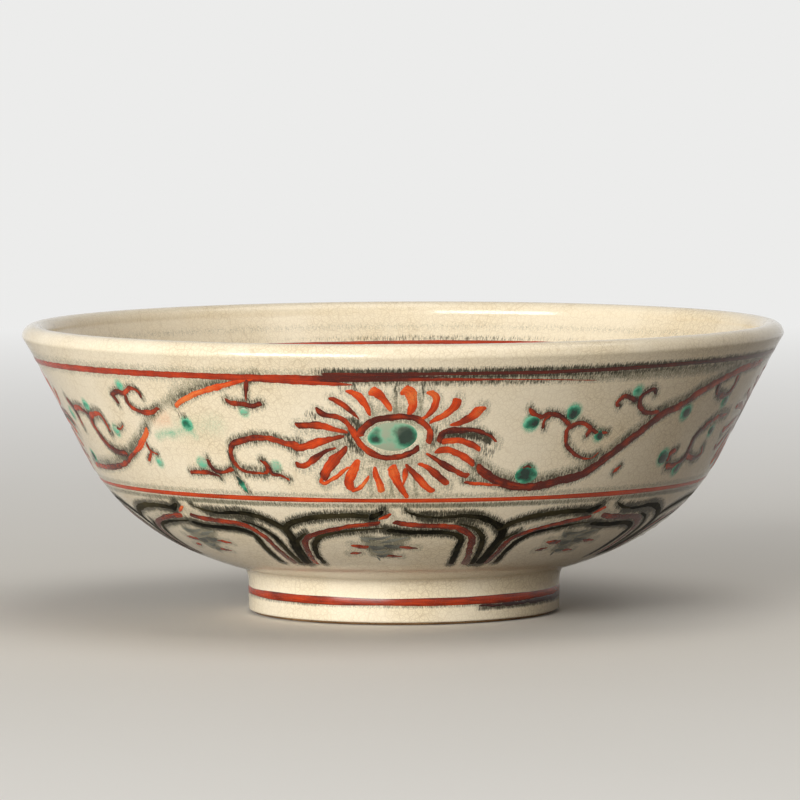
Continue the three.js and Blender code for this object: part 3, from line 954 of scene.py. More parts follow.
@dataclass(frozen=True)
class CopperGreenEnamel(Finish):
    """Copper overglaze enamel, dropped on thick, so that it stands up like coloured glass.

    The eye gets a deep green where the drop is thick, an aqua where it thins, a milky grey
    green where it is thinnest, and a sharp shine.
    """

    thick: str = "#083026"
    middle: str = "#1b8261"
    thin: str = "#6cc49f"
    milk: str = "#a3b399"
    cloud: str = "#a3af96"
    roughness: float = 0.06
    pool: float = 1.3
    pool_depth: float = 0.06
    spread: float = 0.5
    edge_thin: float = 0.45

    def shade(self, tree: NodeTree, place: NodeSocket) -> dict[str, object]:
        """Builds the enamel's patterns.

        Args:
            tree: the material's nodes.
            place: the place on the object in metres.

        Returns:
            For each input of the surface that it sets, a value or a socket.
        """
        edge, tone, milk = (add_node(tree, "Attribute", out="Fac", attribute_name=label)
                            for label in ("edge", "tone", "smoke"))
        pools = evened(tree, place, 1 / MM / self.pool, 3.0)
        rim = add_node(tree, "Math", {0: edge, 1: 4.0}, operation="POWER")
        level = tone
        for pattern, share in ((pools, self.spread), (rim, self.edge_thin)):
            level = add_node(tree, "Math", {0: pattern, 1: share, 2: level},
                             operation="MULTIPLY_ADD")
        steps = [(add_node(tree, "MapRange", {"Value": level, "From Min": low, "From Max": high}),
                  colour)
                 for low, high, colour in ((0.3, 0.75, self.middle), (0.75, 1.2, self.thin),
                                           (1.2, 1.6, self.milk))]
        uneven = add_node(tree, "MapRange", {"Value": pools, "To Min": 0.6, "To Max": 1.15})
        clouded = add_node(tree, "Math", {0: milk, 1: uneven}, operation="MULTIPLY",
                           use_clamp=True)
        base = coats(tree, self.thick, *steps, (clouded, self.cloud))
        bumped = add_node(tree, "Bump", {
            "Height": pools, "Strength": 0.3, "Distance": self.pool_depth * MM})
        return {"Base Color": base, "Roughness": self.roughness, "Normal": bumped, "IOR": 1.58}


@dataclass(frozen=True)
class BareStoneware(Finish):
    """Buff stoneware clay, turned and left bare where the bowl stands.

    The eye gets a dry, sandy buff with iron grains, and a brown line where the clay
    scorched along the glaze.
    """

    clay: str = "#b08a5e"
    dark: str = "#86613c"
    scorch: str = "#5a3b22"
    grog: str = "#4b3322"
    grain: float = 0.5
    grain_depth: float = 0.12
    cloud: float = 6.0
    scorch_low: float = 0.3
    scorch_top: float = 1.5

    def shade(self, tree: NodeTree, place: NodeSocket) -> dict[str, object]:
        """Builds the clay's patterns.

        Args:
            tree: the material's nodes.
            place: the place on the object in metres.

        Returns:
            For each input of the surface that it sets, a value or a socket.
        """
        clouds = evened(tree, place, 1 / MM / self.cloud, 3.0)
        grains = evened(tree, place, 1 / MM / self.grain, 2.0)
        level = add_node(tree, "SeparateXYZ", {"Vector": place}, "Z")
        near = add_node(tree, "MapRange", {
            "Value": level, "From Min": self.scorch_low * MM, "From Max": self.scorch_top * MM,
            "To Max": 0.85})
        dots = add_node(tree, "MapRange", {
            "Value": grains, "From Min": 0.78, "From Max": 0.95, "To Max": 0.8})
        base = coats(tree, self.clay, (clouds, self.dark), (near, self.scorch),
                     (dots, self.grog))
        bumped = add_node(tree, "Bump", {
            "Height": grains, "Strength": 0.6, "Distance": self.grain_depth * MM})
        return {"Base Color": base, "Roughness": 0.88, "Normal": bumped, "IOR": 1.45}


def made(finish: Finish, name: str) -> Material:
    """Declares an entry of the palette, whose material is made along with the palette."""
    return field(default_factory=lambda: finish.make(name))


@dataclass
class Palette:
    """The finishes of the bowl, each made once."""

    glaze: Material = made(CrazedIvoryGlaze(), "crazed_ivory_glaze")
    red: Material = made(IronEnamel(), "iron_red_enamel")
    plum: Material = made(IronEnamel(bright="#c83c12", smoke="#451a13", patchy=0.4),
                          "smoked_iron_enamel")
    banding: Material = made(IronEnamel(patch=6.0, patchy=0.35, grains=0.15),
                             "wheel_banded_iron_enamel")
    black: Material = made(IronEnamel(
        thin="#5d5538", bright="#423c28", deep="#0b0a06", smoke="#0a0906", grain="#5d583f",
        roughness=0.38, grains=0.25, ior=1.12), "black_iron_underglaze")
    grey: Material = made(IronEnamel(
        thin="#97988a", bright="#84857a", deep="#595b57", smoke="#2e2f29", grain="#3a3c38",
        roughness=0.3, grains=0.6, ior=1.2), "grey_cobalt_wash")
    green: Material = made(CopperGreenEnamel(), "copper_green_enamel")
    clay: Material = made(BareStoneware(), "bare_buff_stoneware")


@dataclass(frozen=True)
class Pull:
    """One pull of the brush: its marks, its width and its look."""

    marks: Marks
    width: float
    brush: Brush = Brush.EVEN
    tone: float = 0.6
    smoke: float = 0.0


@dataclass(frozen=True)
class Wash:
    """A loose patch of colour in the glaze: its marks, how far it reaches and how full it is."""

    layer: Stain
    marks: Marks
    reach: float
    spread: float
    strength: float


Pulls = tuple[Pull, ...]
Washes = tuple[Wash, ...]


@dataclass
class Painter:
    """What every painted sub-assembly shares: the form, the finishes and the stained wall."""

    form: BowlForm
    palette: Palette
    wall: StainedWall
    ground: Ground

    def lay(self, work: EnamelWork, area: Area, pull: Pull, feathers: Feathers = (),
            load: float = 1.0, smoke: float = 0.0) -> None:
        """Paints one pull and lets its underglaze feather into the wall.

        Args:
            work: the piece that takes the stroke.
            area: where its marks are measured.
            pull: the stroke.
            feathers: where dark pigment shows beside it.
            load: how much wider a loaded brush makes it.
            smoke: the least dark underglaze under it.
        """
        path = area.path(pull.marks)
        width = pull.width * load
        work.stroke(path, width, pull.brush, pull.tone, max(pull.smoke, smoke))
        for feather in feathers:
            self.wall.soak(feather.layer, path, width / 2 - 0.1, feather.spread,
                           feather.strength, feather.shift)

    @staticmethod
    def seated(works: tuple[tuple[EnamelWork, str, Material, str, str], ...],
               number: str = "") -> list[Object]:
        """Makes pieces of enamel work and puts them in their places.

        Args:
            works: for each piece its strokes, its name, its enamel, its slot and its CAD node.
            number: what ends their names and their nodes' names.

        Returns:
            The pieces.
        """
        return [seat(work.make(name + number, enamel), slot, node + number)
                for work, name, enamel, slot, node in works]

    def wash(self, area: Area, washes: Washes) -> None:
        """Lets loose patches of colour sink into the wall.

        Args:
            area: where their marks are measured.
            washes: the patches.
        """
        for wash in washes:
            self.wall.soak(wash.layer, area.path(wash.marks), wash.reach, wash.spread,
                           wash.strength)


class Side(Enum):
    """Which of the two ways of drawing the vine and its curl, as they lie from the flower."""

    LEFT = "left"
    RIGHT = "right"


@dataclass
class FlowerScroll(Painter):
    """The wall's broad band: four many-petalled flowers and the vine that joins them."""

    first: float = -1.7
    flowers: int = 4
    low: float = WAIST
    high: float = 61.664
    petals: Pulls = (
        Pull(((-3.3, 90), (-1.7, 85), (-0.1, 73)), 1.7, CLUB, 0.85),
        Pull(((-6.7, 90), (-5.1, 85), (-4.1, 78), (-3.5, 69)), 1.5, PETAL, 0.8),
        Pull(((-9.5, 84), (-8.2, 80), (-6.7, 74), (-5.2, 66)), 1.3, PETAL, 0.35, 0.15),
        Pull(((-12, 74), (-10.6, 70), (-8.6, 68), (-7.4, 64), (-6.4, 57), (-5.6, 48), (-4.2, 41),
              (-1.9, 36), (0.8, 36), (3.2, 40), (4.3, 44)), 1.3, EVEN, 0.3, 0.15),
        Pull(((-15.7, 61), (-13.4, 61), (-11.5, 61), (-9.4, 58), (-7.2, 56)), 1.6, PETAL, 0.3),
        Pull(((-17, 43), (-15.2, 43), (-11.9, 48), (-8.8, 52), (-7.8, 53)), 1.8, PETAL, 0.4),
        Pull(((-16.9, 30), (-15.5, 28), (-13.3, 34), (-11.3, 40), (-9.4, 43)), 1.3, PETAL, 0.25, 0.1),
        Pull(((-7.5, 44), (-9.3, 36), (-11.2, 27), (-12.5, 18)), 2.1, LEAF, 0.45, 0.1),
        Pull(((-12.9, 18), (-12.3, 14), (-10.7, 17.5), (-9, 23), (-7.5, 28)), 0.95, EVEN, 0.95),
        Pull(((-5.8, 34), (-6.8, 25), (-7.8, 16), (-7.5, 8)), 2.1, LEAF, 0.85),
        Pull(((-7.5, 8), (-6.3, 10), (-5.2, 14), (-4.3, 21)), 0.95, TAIL, 1.0),
        Pull(((-3.3, 28), (-2.8, 19), (-2.1, 7)), 1.4, LEAF, 0.95),
        Pull(((-0.4, 29), (0.3, 20), (1.2, 11), (2.5, 2)), 1.85, CLUB, 0.9),
        Pull(((2.2, 27), (1.9, 20), (1.4, 11)), 1.0, TAIL, 0.6),
        Pull(((2, 30), (3.6, 22), (5.3, 13), (7.0, 7)), 1.5, LEAF, 0.6),
        Pull(((4.2, 31), (6.1, 26), (8, 19), (9.4, 13)), 1.5, LEAF, 0.4),
        Pull(((5.5, 39), (7.4, 33), (9.5, 27), (11.5, 22), (13, 20)), 1.3, LEAF, 0.35, 0.1),
        Pull(((7, 41), (9.2, 41), (11.6, 36), (13.8, 29)), 1.4, EVEN, 0.5),
        Pull(((7.9, 48), (10.3, 49), (12.3, 46.5), (14.5, 41)), 1.35, EVEN, 0.65),
        Pull(((7.6, 47), (7.9, 54), (9.4, 57), (13, 57), (15.5, 53), (17.1, 47)), 1.3, TAIL, 0.2, 0.45),
        Pull(((14, 76), (12.9, 70), (11.3, 64.5), (9.1, 61)), 1.8, CLUB, 0.7),
        Pull(((10, 83), (9.5, 76), (8.2, 70), (5.8, 63.5)), 1.6, CLUB, 0.75),
        Pull(((5.5, 89), (6.7, 84), (6.4, 75), (5.2, 68), (3.9, 65.5)), 1.5, PETAL, 0.95),
        Pull(((1.5, 90), (2.7, 88), (3.2, 78), (2.4, 69)), 2.1, CLUB, 1.0),
        Pull(((-5.6, 52), (-4.4, 60), (-2.6, 66), (0.1, 68), (2.8, 68), (4.7, 64), (5.8, 58), (5.9, 51),
              (5.6, 47)), 1.4, EVEN, 0.2, 0.22),
    )
    petal_washes: Washes = (
        Wash(INK, ((-6.4, 64), (-5.6, 62), (-5.5, 58)), 0.5, 0.7, 0.85),
        Wash(INK, ((-7.3, 54), (-6.6, 46), (-5.4, 41)), 0.35, 0.6, 0.75),
        Wash(INK, ((8.3, 50), (9.7, 53.5), (13, 54.5), (15.6, 50)), 0.6, 0.45, 1.0),
        Wash(INK, ((14.8, 42), (16.4, 38)), 0.3, 0.6, 0.5),
        Wash(INK, ((6.6, 58), (6.8, 53), (6.5, 47)), 0.35, 0.5, 0.7),
        Wash(INK, ((-13.4, 70), (-12.2, 68)), 0.2, 0.5, 0.6),
        Wash(INK, ((-17.2, 41), (-16.3, 38)), 0.3, 0.5, 0.6),
        Wash(HAZE, ((-3.6, 33), (0, 29), (4.0, 33)), 0.3, 0.8, 0.5),
        Wash(HAZE, ((-4.0, 71), (0, 75), (4.8, 72)), 0.3, 0.8, 0.5),
        Wash(HAZE, ((0.5, 93), (0.6, 72)), 0.15, 0.5, 0.9),
        Wash(HAZE, ((4.7, 93), (4.4, 75)), 0.15, 0.5, 0.8),
        Wash(HAZE, ((-3.4, 79), (-3.0, 71)), 0.15, 0.5, 0.8),
        Wash(HAZE, ((-4.1, 26), (-3.9, 5)), 0.15, 0.45, 0.85),
        Wash(HAZE, ((-0.6, 17), (-0.3, 4)), 0.15, 0.45, 0.85),
        Wash(HAZE, ((3.5, 17), (4.0, 4)), 0.15, 0.45, 0.8),
        Wash(INK, ((-8.1, 94), (-7.9, 89)), 0.1, 0.45, 0.7),
        Wash(INK, ((-5.6, 94), (-5.4, 88)), 0.1, 0.45, 0.8),
        Wash(INK, ((0.5, 94), (0.6, 86)), 0.1, 0.45, 0.6),
        Wash(INK, ((4.7, 94), (4.7, 88)), 0.1, 0.45, 0.6),
    )
    # The right-hand vine's stem and tendrils use lower tones than the left-hand set. This is partly the
    # deeper iron red they were painted in and partly painted shade, taken from the bowl's shaded right
    # side.
    right_stem: Pulls = (
        Pull(((14.2, 27), (15.5, 23), (17.4, 17), (19.6, 13), (22.3, 10), (26.5, 10), (30.6, 14),
              (34.1, 17), (36.9, 24), (38.9, 31), (40.9, 38), (43, 45), (45.3, 53), (48.2, 63),
              (52.6, 70), (55.6, 78), (58.5, 83), (61.5, 88), (64.4, 91), (67.1, 94), (76, 97)), 2.0,
              EVEN, 0.15, 0.12),
        Pull(((12.3, 15), (15, 13), (17.6, 12), (19.7, 11)), 0.88, TAIL, 0.5),
    )
    right_tendrils: Pulls = (
        Pull(((21.6, 73), (22.5, 69), (24, 66), (24.9, 68), (26.3, 68), (27.4, 66), (28.8, 61),
              (29.3, 58)), 1.0, EVEN, 0.3),
        Pull(((24.8, 57), (24.7, 63), (25.5, 67)), 0.85, EVEN, 0.25),
        Pull(((33, 49), (33.5, 55), (31.7, 60), (30.4, 59), (29.2, 55), (29.3, 49), (29.9, 42),
              (31.6, 35), (33.7, 31), (35.6, 31), (36.6, 35)), 0.95, TAIL, 0.4),
        Pull(((33.5, 55), (35.3, 51), (37.2, 51)), 0.9, EVEN, 0.35),
        Pull(((37.9, 72), (37.3, 75), (38.2, 80), (39.4, 79), (41, 75)), 1.0, EVEN, 0.2),
        Pull(((44.7, 80), (44.1, 84), (42.8, 83), (41.8, 79), (41.9, 73), (42.9, 68), (44.7, 65),
              (47.2, 65)), 1.0, EVEN, 0.25),
        Pull(((66.7, 89), (67.2, 80), (66.3, 74.5), (64.4, 73), (61.8, 76), (60.9, 83)), 1.5, EVEN,
              0.3),
        Pull(((41.3, 17), (42.7, 23)), 0.9, DASH, 0.2),
        Pull(((22.4, 25), (23.4, 26.5), (24.3, 24)), 0.55, DASH, 0.3),
    )
    # The right-hand curl's lower tones are also partly its own deeper red and partly painted shade.
    right_curl: Pulls = (
        Pull(((70.8, 56), (66.5, 55), (63.1, 49), (61.1, 42), (60.7, 33), (60.9, 26), (58.7, 19),
              (55.3, 19)), 1.6, LEAF, 0.3),
        Pull(((60.9, 26), (64.4, 22), (67, 25), (65.9, 32)), 1.3, TAIL, 0.3),
        Pull(((56.3, 32), (55, 29), (55.1, 23)), 1.3, EVEN, 0.3),
    )
    left_stem: Pulls = (
        Pull(((-20.2, 98.5), (-24, 95), (-27.8, 90), (-31.3, 85), (-34.5, 79), (-36.8, 73)), 1.35, LEAF,
              1.15),
        Pull(((-45.2, 52), (-48.2, 41), (-50.6, 34.5), (-53.4, 28)), 1.35, TAIL, 1.1),
        Pull(((-48.9, 39), (-53, 29), (-56.4, 22), (-60.4, 18), (-66.6, 15.5), (-73.5, 15)), 1.35, LEAF,
              0.3, 0.2),
    )
    left_washes: Washes = (
        Wash(RUST, ((-42.6, 62), (-39.6, 63)), 0.5, 1.3, 0.5),
        Wash(HAZE, ((-36.5, 81), (-41.5, 68), (-45.7, 54)), 0.2, 0.9, 0.7),
        Wash(GREEN, ((-43.4, 47), (-41.4, 50), (-39.4, 51)), 0.15, 0.9, 0.7),
        Wash(GREEN, ((-40.0, 49), (-36.4, 54), (-34.6, 50)), 0.1, 1.0, 0.55),
        Wash(GREEN, ((-38.0, 54), (-29.0, 60)), 0.3, 2.2, 0.28),
        Wash(INK, ((-36.6, 66), (-35.4, 65)), 0.15, 0.5, 0.75),
        Wash(HAZE, ((-36.5, 84), (-32.5, 91), (-26, 96.5)), 0.3, 1.1, 0.5),
    )
    left_tendrils: Pulls = (
        Pull(((-50.2, 72), (-50.5, 77), (-50.8, 79), (-49.1, 82), (-47.5, 80), (-47.5, 74), (-46.6, 69),
              (-44.7, 66), (-42.5, 67), (-40.6, 71)), 1.05, EVEN, 0.3),
        Pull(((-43.4, 79), (-44, 84), (-45.2, 86), (-46.7, 83), (-47.5, 80)), 0.95, EVEN, 0.4),
        Pull(((-69.7, 70), (-68.2, 63), (-67.8, 54), (-67.8, 48)), 1.6, TAIL, 0.3),
        Pull(((-67.8, 63), (-64.8, 64), (-62.4, 60), (-61.5, 56)), 1.4, TAIL, 0.3),
        Pull(((-56.7, 47), (-56.9, 54), (-57.6, 61), (-60.6, 60), (-62.2, 54), (-61.7, 45), (-60.3, 36),
              (-57.7, 31), (-54.3, 30)), 1.6, LEAF, 0.3),
        Pull(((-47.1, 41), (-46.8, 35), (-45.1, 32)), 0.7, TAIL, 0.6),
        Pull(((-48.5, 26), (-46.5, 34)), 0.7, TAIL, 0.6),
        Pull(((-54.4, 51), (-53, 50.5), (-51.6, 54)), 0.6, EVEN, 0.9),
        Pull(((-22.1, 97), (-22.6, 91), (-23.2, 80)), 0.95, TAIL, 0.25),
        Pull(((-26.8, 80), (-25.6, 77.5), (-23.7, 77), (-22.2, 76), (-20.6, 78)), 1.1, EVEN, 0.2),
    )
    left_curl: Pulls = (
        Pull(((-15.6, 46), (-17.8, 46), (-19.8, 49), (-22.4, 50), (-25.3, 48), (-28, 43), (-28.6, 34),
              (-28.2, 27), (-26.3, 22), (-22.9, 21)), 1.35, TAIL, 0.55),
        Pull(((-22.9, 21), (-22.2, 24), (-22.4, 28), (-23.3, 32)), 0.8, EVEN, 0.3),
        Pull(((-22.7, 31), (-21.9, 26), (-21.5, 21), (-20, 20), (-18.5, 16)), 0.85, TAIL, 0.3),
        Pull(((-29, 24), (-30.8, 21), (-32.7, 21), (-33.6, 26), (-33.8, 31)), 1.0, EVEN, 0.3),
        Pull(((-38.7, 19), (-35.1, 20), (-32.6, 18), (-32.2, 16)), 1.0, TAIL, 0.35),
    )
    left_curl_leaf: Pull = Pull(((-28.7, 18), (-28.1, 11), (-27.4, 4)), 1.35, DASH, 0.2)
    right_drops: Cores = (
        (22.5, 62, 3.2, 0.6), (23.4, 19, 4.2, 0.45), (29.5, 69, 3.1, 0.5), (35.6, 49, 2.1, 0.25),
        (40.7, 83, 2.4, 0.8), (54.3, 63, 3.2, 0.5), (66.3, 68, 2.8, 0.6))
    right_curl_drops: Cores = ((53.2, 27, 3.2, 0.35), (59.3, 16, 2.8, 0.5), (66.5, 44, 2.4, 0.5))
    left_drops: Cores = (
        (-24, 71, 1.8, 1.15), (-47.7, 87, 2.1, 1.0), (-61.3, 67, 2.4, 0.9), (-70.9, 58, 2.4, 0.9),
        (-54.4, 49, 2.1, 1.1), (-35.6, 59, 2.5, 0.7), (-45.5, 26, 1.8, 1.1), (-71.1, 23, 2.5, 0.5))
    left_curl_drops: Cores = ((-20.5, 27, 1.9, 1.15), (-35.2, 27, 2.2, 1.05))
    petal_feathers: Feathers = (
        Feather(HAZE, (0.45, -0.4), 0.7, 0.38),
        Feather(HAZE, (-0.35, 0.1), 0.5, 0.2),
        Feather(INK, (0.3, -0.3), 0.25, 0.1),
    )
    stem_feathers: Feathers = (
        Feather(HAZE, (-0.15, 0.65), 0.9, 0.72),
        Feather(INK, (-0.1, 0.35), 0.3, 0.42),
    )
    curl_feathers: Feathers = (
        Feather(HAZE, (0.1, 0.1), 0.8, 0.6),
        Feather(INK, (0.08, 0.16), 0.3, 0.58),
    )
    petal_load: float = 1.07
    curl_load: float = 1.08
    curl_smoke: float = 0.45
    drop_height: float = 0.16
    drop_squash: float = 0.95
    eye_up: float = 52.5
    eye_size: Pair = (9.4, 6.3)
    eye_height: float = 0.2
    eye_cores: Cores = ((3.0, -0.4, 4.2, 1.7), (1.7, 1.6, 2.6, 0.9), (-3.6, -0.5, 2.4, 1.6),
                        (-3.1, 1.6, 1.7, 0.8), (-0.6, -0.9, 1.3, 0.3))

    def area(self, turn: float = 0.0) -> Area:
        """Returns the band's area, turned on from the first flower."""
        return Area(self.ground, self.first + turn, self.low, self.high)

    def painted(self, pulls: Pulls, area: Area, feathers: Feathers, seed: int,
                load: float = 1.0, smoke: float = 0.0) -> EnamelWork:
        """Paints several pulls as one piece of enamel work.

        Args:
            pulls: the strokes.
            area: where their marks are measured.
            feathers: where dark pigment shows beside them.
            seed: what makes their edges their own.
            load: how much wider a loaded brush makes them.
            smoke: the least dark underglaze under them.

        Returns:
            The work.
        """
        work = EnamelWork(self.ground, seed=seed)
        for pull in pulls:
            self.lay(work, area, pull, feathers, load, smoke)
        return work

    def dropped(self, drops: Cores, area: Area, seed: int) -> EnamelWork:
        """Lays several green drops as one piece, each with the halo that it bled.

        Args:
            drops: for each drop its marks, its width and its tone.
            area: where its marks are measured.
            seed: what makes its outline its own.

        Returns:
            The work.
        """
        work = EnamelWork(self.ground, seed=seed)
        for number, (across, up, wide, tone) in enumerate(drops):
            spot = area.spot((across, up))
            lean = number * 2.4 + seed
            core = 0.17 * wide * math.cos(lean), 0.17 * wide * math.sin(lean), 0.62 * wide
            work.dab(spot, (wide, wide * self.drop_squash), height=self.drop_height, tone=tone,
                     cores=((*core, 0.75 * (1.3 - tone)),))
            self.wall.soak(GREEN, np.array([spot]), wide / 2 - 0.1, 0.7, 1.0, stretch=1.2)
        return work

    def eye(self, area: Area, seed: int) -> EnamelWork:
        """Lays the flower's milky green middle, darker at its right and its left.

        Args:
            area: the flower's area.
            seed: what makes its outline its own.

        Returns:
            The work.
        """
        work = EnamelWork(self.ground, seed=seed)
        work.dab(area.spot((0.0, self.eye_up)), self.eye_size, height=self.eye_height, tone=1.3,
                 lumpy=0.04, cores=self.eye_cores, milk=0.9)
        self.wall.soak(GREEN, area.path(((-3, self.eye_up), (3, self.eye_up))), 2.4, 0.7, 0.3)
        return work

    def build(self) -> list[Object]:
        """Paints the four flowers and the vine between them.

        Returns:
            The pieces.
        """
        pieces = []
        finish = self.palette
        for number in range(1, self.flowers + 1):
            turn = (number - 1) * 360 / self.flowers
            at = self.area(turn)
            side = Side.RIGHT if number in (1, 2) else Side.LEFT
            gap = self.area(turn if side is Side.RIGHT else turn + 90)
            curl_side = Side.LEFT if number in (1, 4) else Side.RIGHT
            curl_area = self.area(turn if curl_side is Side.LEFT else turn - 90)
            flower = self.painted(self.petals, at, self.petal_feathers, number, self.petal_load)
            self.wash(at, self.petal_washes)
            vine = self.painted(getattr(self, f"{side.value}_stem"), gap, self.stem_feathers,
                                10 + number)
            for pull in getattr(self, f"{side.value}_tendrils"):
                self.lay(vine, gap, pull, self.curl_feathers, self.curl_load, self.curl_smoke)
            curl = self.painted(getattr(self, f"{curl_side.value}_curl"), curl_area,
                                self.curl_feathers, 20 + number, self.curl_load, self.curl_smoke)
            sprig = self.dropped(getattr(self, f"{side.value}_drops"), gap, 30 + number)
            leaf = self.dropped(getattr(self, f"{curl_side.value}_curl_drops"), curl_area, 40 + number)
            if side is Side.LEFT:
                self.wash(gap, self.left_washes)
            if curl_side is Side.LEFT:
                self.lay(leaf, curl_area, self.left_curl_leaf, self.curl_feathers)
            red = finish.red, "red_enamel"
            green = finish.green, "green_enamel"
            pieces += self.seated((
                (flower, "flower_petals", *red, "flower"),
                (self.eye(at, 50 + number), "flower_pool", *green, "flower_eye"),
                (vine, "vine_stem", *red, "vine"), (curl, "vine_curl", *red, "curl"),
                (sprig, "sprig_drops", *green, "sprig_leaf"),
                (leaf, "curl_drops", *green, "curl_leaf")), f"_{number}")
        return pieces


@dataclass
class LotusPanels(Painter):
    """The belly's ring of eight lotus panels under the waist band."""

    first: float = -2.8
    panels: int = 8
    low: float = WAIST * 0.036
    high: float = WAIST
    outline: Pulls = (
        Pull(((-22.2, 73.5), (-20, 80), (-16.5, 84.4), (-11.9, 87), (-7.6, 87.9), (-3.8, 87.4)), 1.6,
              EVEN, 0.42),
        Pull(((-3.8, 86), (-2.0, 88.8), (-0.9, 91.5)), 1.6, CLUB, -0.2),
        Pull(((3, 92.5), (4.1, 90), (5.6, 88), (8.1, 86.3)), 0.8, LEAF, 0.5),
        Pull(((6.5, 87), (9.2, 86.2), (11.4, 86.5), (14.8, 87.2), (18.4, 84.6), (21.2, 79.3),
              (23, 73.9), (23.4, 66.8), (22.9, 57.5), (22.5, 44.8), (22.3, 33)), 1.75, SWELL, -0.05),
        Pull(((-17.7, 34), (-17.7, 40), (-17.8, 46.6), (-16.9, 59), (-15.5, 65.6), (-13.8, 69.8),
              (-9.8, 73.4), (-5.2, 75.7), (-1, 77)), 1.25, TAIL, 0.3),
        Pull(((1.2, 74.3), (5.1, 73.3), (9.6, 73.1), (12.7, 71.6), (14.7, 67), (14.8, 58.6), (14.7, 46),
              (14.7, 34)), 1.45, EVEN, -0.15),
        Pull(((-0.7, 75.4), (0.4, 75.2), (1.5, 74.6)), 1.5, LEAF, -0.2),
        Pull(((13.7, 80.6), (16.9, 76.2), (19.3, 67.3), (20, 54.5), (20.2, 44), (20.4, 33)), 1.4, LEAF,
              0.2),
        Pull(((-17.5, 71.6), (-19.7, 65.5), (-20.8, 60), (-21.3, 46), (-21.6, 34)), 1.4, LEAF, 0.2),
    )
    line: Pulls = (
        Pull(((-20.1, 33), (-20, 38), (-19.5, 50), (-18.9, 60.5), (-17.6, 66.8), (-15.2, 71.4),
              (-11.1, 75.9), (-6.5, 79.5), (-1.8, 81.6)), 1.4, EVEN, -0.1),
        Pull(((0.8, 82.9), (3.6, 80.5), (7.9, 79.1), (11.8, 78.3), (14.6, 74.8), (16.9, 67.6),
              (17.4, 59.9), (18.1, 43.5), (18.5, 32)), 1.65, EVEN, -0.1),
        Pull(((-1.9, 84.8), (-0.6, 87.1), (0.5, 89.5)), 1.0, LEAF, 0.75),
        Pull(((-8.7, 59.5), (-7, 58.4), (-5.0, 57.6)), 1.7, LEAF, 0.2),
        Pull(((-9.7, 49), (-8.3, 50.3), (-6.8, 51.7)), 1.6, DASH, 0.1),
        Pull(((1.8, 58), (3.9, 57.3), (5.9, 56.4)), 1.5, DASH, 0.15),
        Pull(((-1.8, 47), (0.4, 46.6), (2.4, 46)), 1.5, DASH, 0.1),
    )
    jewel: Pulls = (
        Pull(((-6.4, 69), (-5.2, 65.5), (-4.2, 62.4)), 1.0, DASH, 0.7),
        Pull(((-5.4, 67.6), (-2.6, 66.8), (0.2, 69.4)), 1.1, TAIL, 0.6),
        Pull(((-2.4, 62.5), (0.4, 65.2), (3.8, 68.6)), 1.3, DASH, 0.85),
        Pull(((-4.8, 58.8), (-3.2, 56.6), (-1.6, 58.6)), 1.7, LEAF, 0.2),
        Pull(((-1.4, 60.2), (0.6, 58.2), (2.2, 60.6)), 1.5, PETAL, 0.05),
        Pull(((-4.4, 53.4), (-2.2, 51.6), (-0.6, 54.2)), 1.5, DASH, 0.75),
        Pull(((-3.6, 48.4), (-2.2, 46.4), (-0.8, 48.4)), 1.3, LEAF, 0.15),
        Pull(((-3.4, 45.4), (-3.1, 42.6), (-2.9, 40)), 0.6, TAIL, 0.5),
    )
    line_feathers: Feathers = (Feather(HAZE, (0.0, 0.2), 0.6, 0.4),)
    jewel_washes: Washes = (
        Wash(HAZE, ((-5.2, 67), (-1.6, 64), (3.2, 68)), 0.6, 0.9, 0.95),
        Wash(HAZE, ((-4.6, 58.5), (-1, 57.5), (1.8, 59.5)), 0.7, 0.8, 1.0),
        Wash(HAZE, ((-4, 51), (-1.0, 50)), 0.7, 0.8, 1.0),
        Wash(INK, ((-4.6, 56.5), (-3.4, 57)), 0.2, 0.7, 0.55),
        Wash(INK, ((-0.6, 57.5), (1.2, 58.5)), 0.2, 0.8, 0.6),
        Wash(INK, ((-2.6, 47), (-0.8, 48)), 0.1, 0.6, 0.5),
        Wash(INK, ((-5.6, 67.5), (-3.6, 66)), 0.1, 0.6, 0.4),
    )

    def build(self) -> list[Object]:
        """Paints the eight panels, each a little different as a hand makes them.

        Returns:
            The pieces.
        """
        pieces = []
        rng = np.random.default_rng(8)
        for number in range(1, self.panels + 1):
            nudge = rng.normal(0, (0.35, 0.8)) if number > 1 else np.zeros(2)
            turn = self.first + (number - 1) * 360 / self.panels + nudge[0]
            area = Area(self.ground, turn, self.low, self.high + nudge[1] * 0.1)
            outline, line, jewel = (EnamelWork(self.ground, seed=seed + number, dome=dome)
                                    for seed, dome in ((60, 0.03), (70, 0.06), (80, 0.03)))
            for pull in self.outline:
                self.lay(outline, area, pull, (
                    Feather(INK, (0.0, 0.0), 0.5, 0.95 - 0.3 * pull.tone),
                    Feather(HAZE, (0.0, -0.1), 0.85, 0.7)))
            for pull in self.line:
                self.lay(line, area, pull, self.line_feathers)
            for pull in self.jewel:
                self.lay(jewel, area, pull)
            self.wash(area, self.jewel_washes)
            paint = self.palette
            pieces += self.seated((
                (outline, "lotus_outline", paint.black, "black_enamel", "panel_outline"),
                (line, "lotus_line", paint.red, "red_enamel", "panel_line"),
                (jewel, "lotus_jewel", paint.grey, "grey_enamel", "panel_jewel")),
                f"_{number}")
        return pieces


@dataclass(frozen=True)
class Sweep:
    """A pull of the brush along the turning rim, with what it does at each of its knots.

    Knots are degrees round the bowl, and the smoke has knots of its own.
    """

    knots: Floats
    heights: Floats
    widths: Floats
    smoke: tuple[Floats, Floats]
    tone: float
    samples: int
    thickness: float
    ragged: float = 0.03
    easing: int = 21


@dataclass(frozen=True)
class Halo:
    """A ring of colour that sank in along a band, with its strength at places round the bowl."""

    layer: Stain
    height: float
    reach: float
    spread: float
    places: Floats = (0,)
    amounts: Floats = (1.0,)


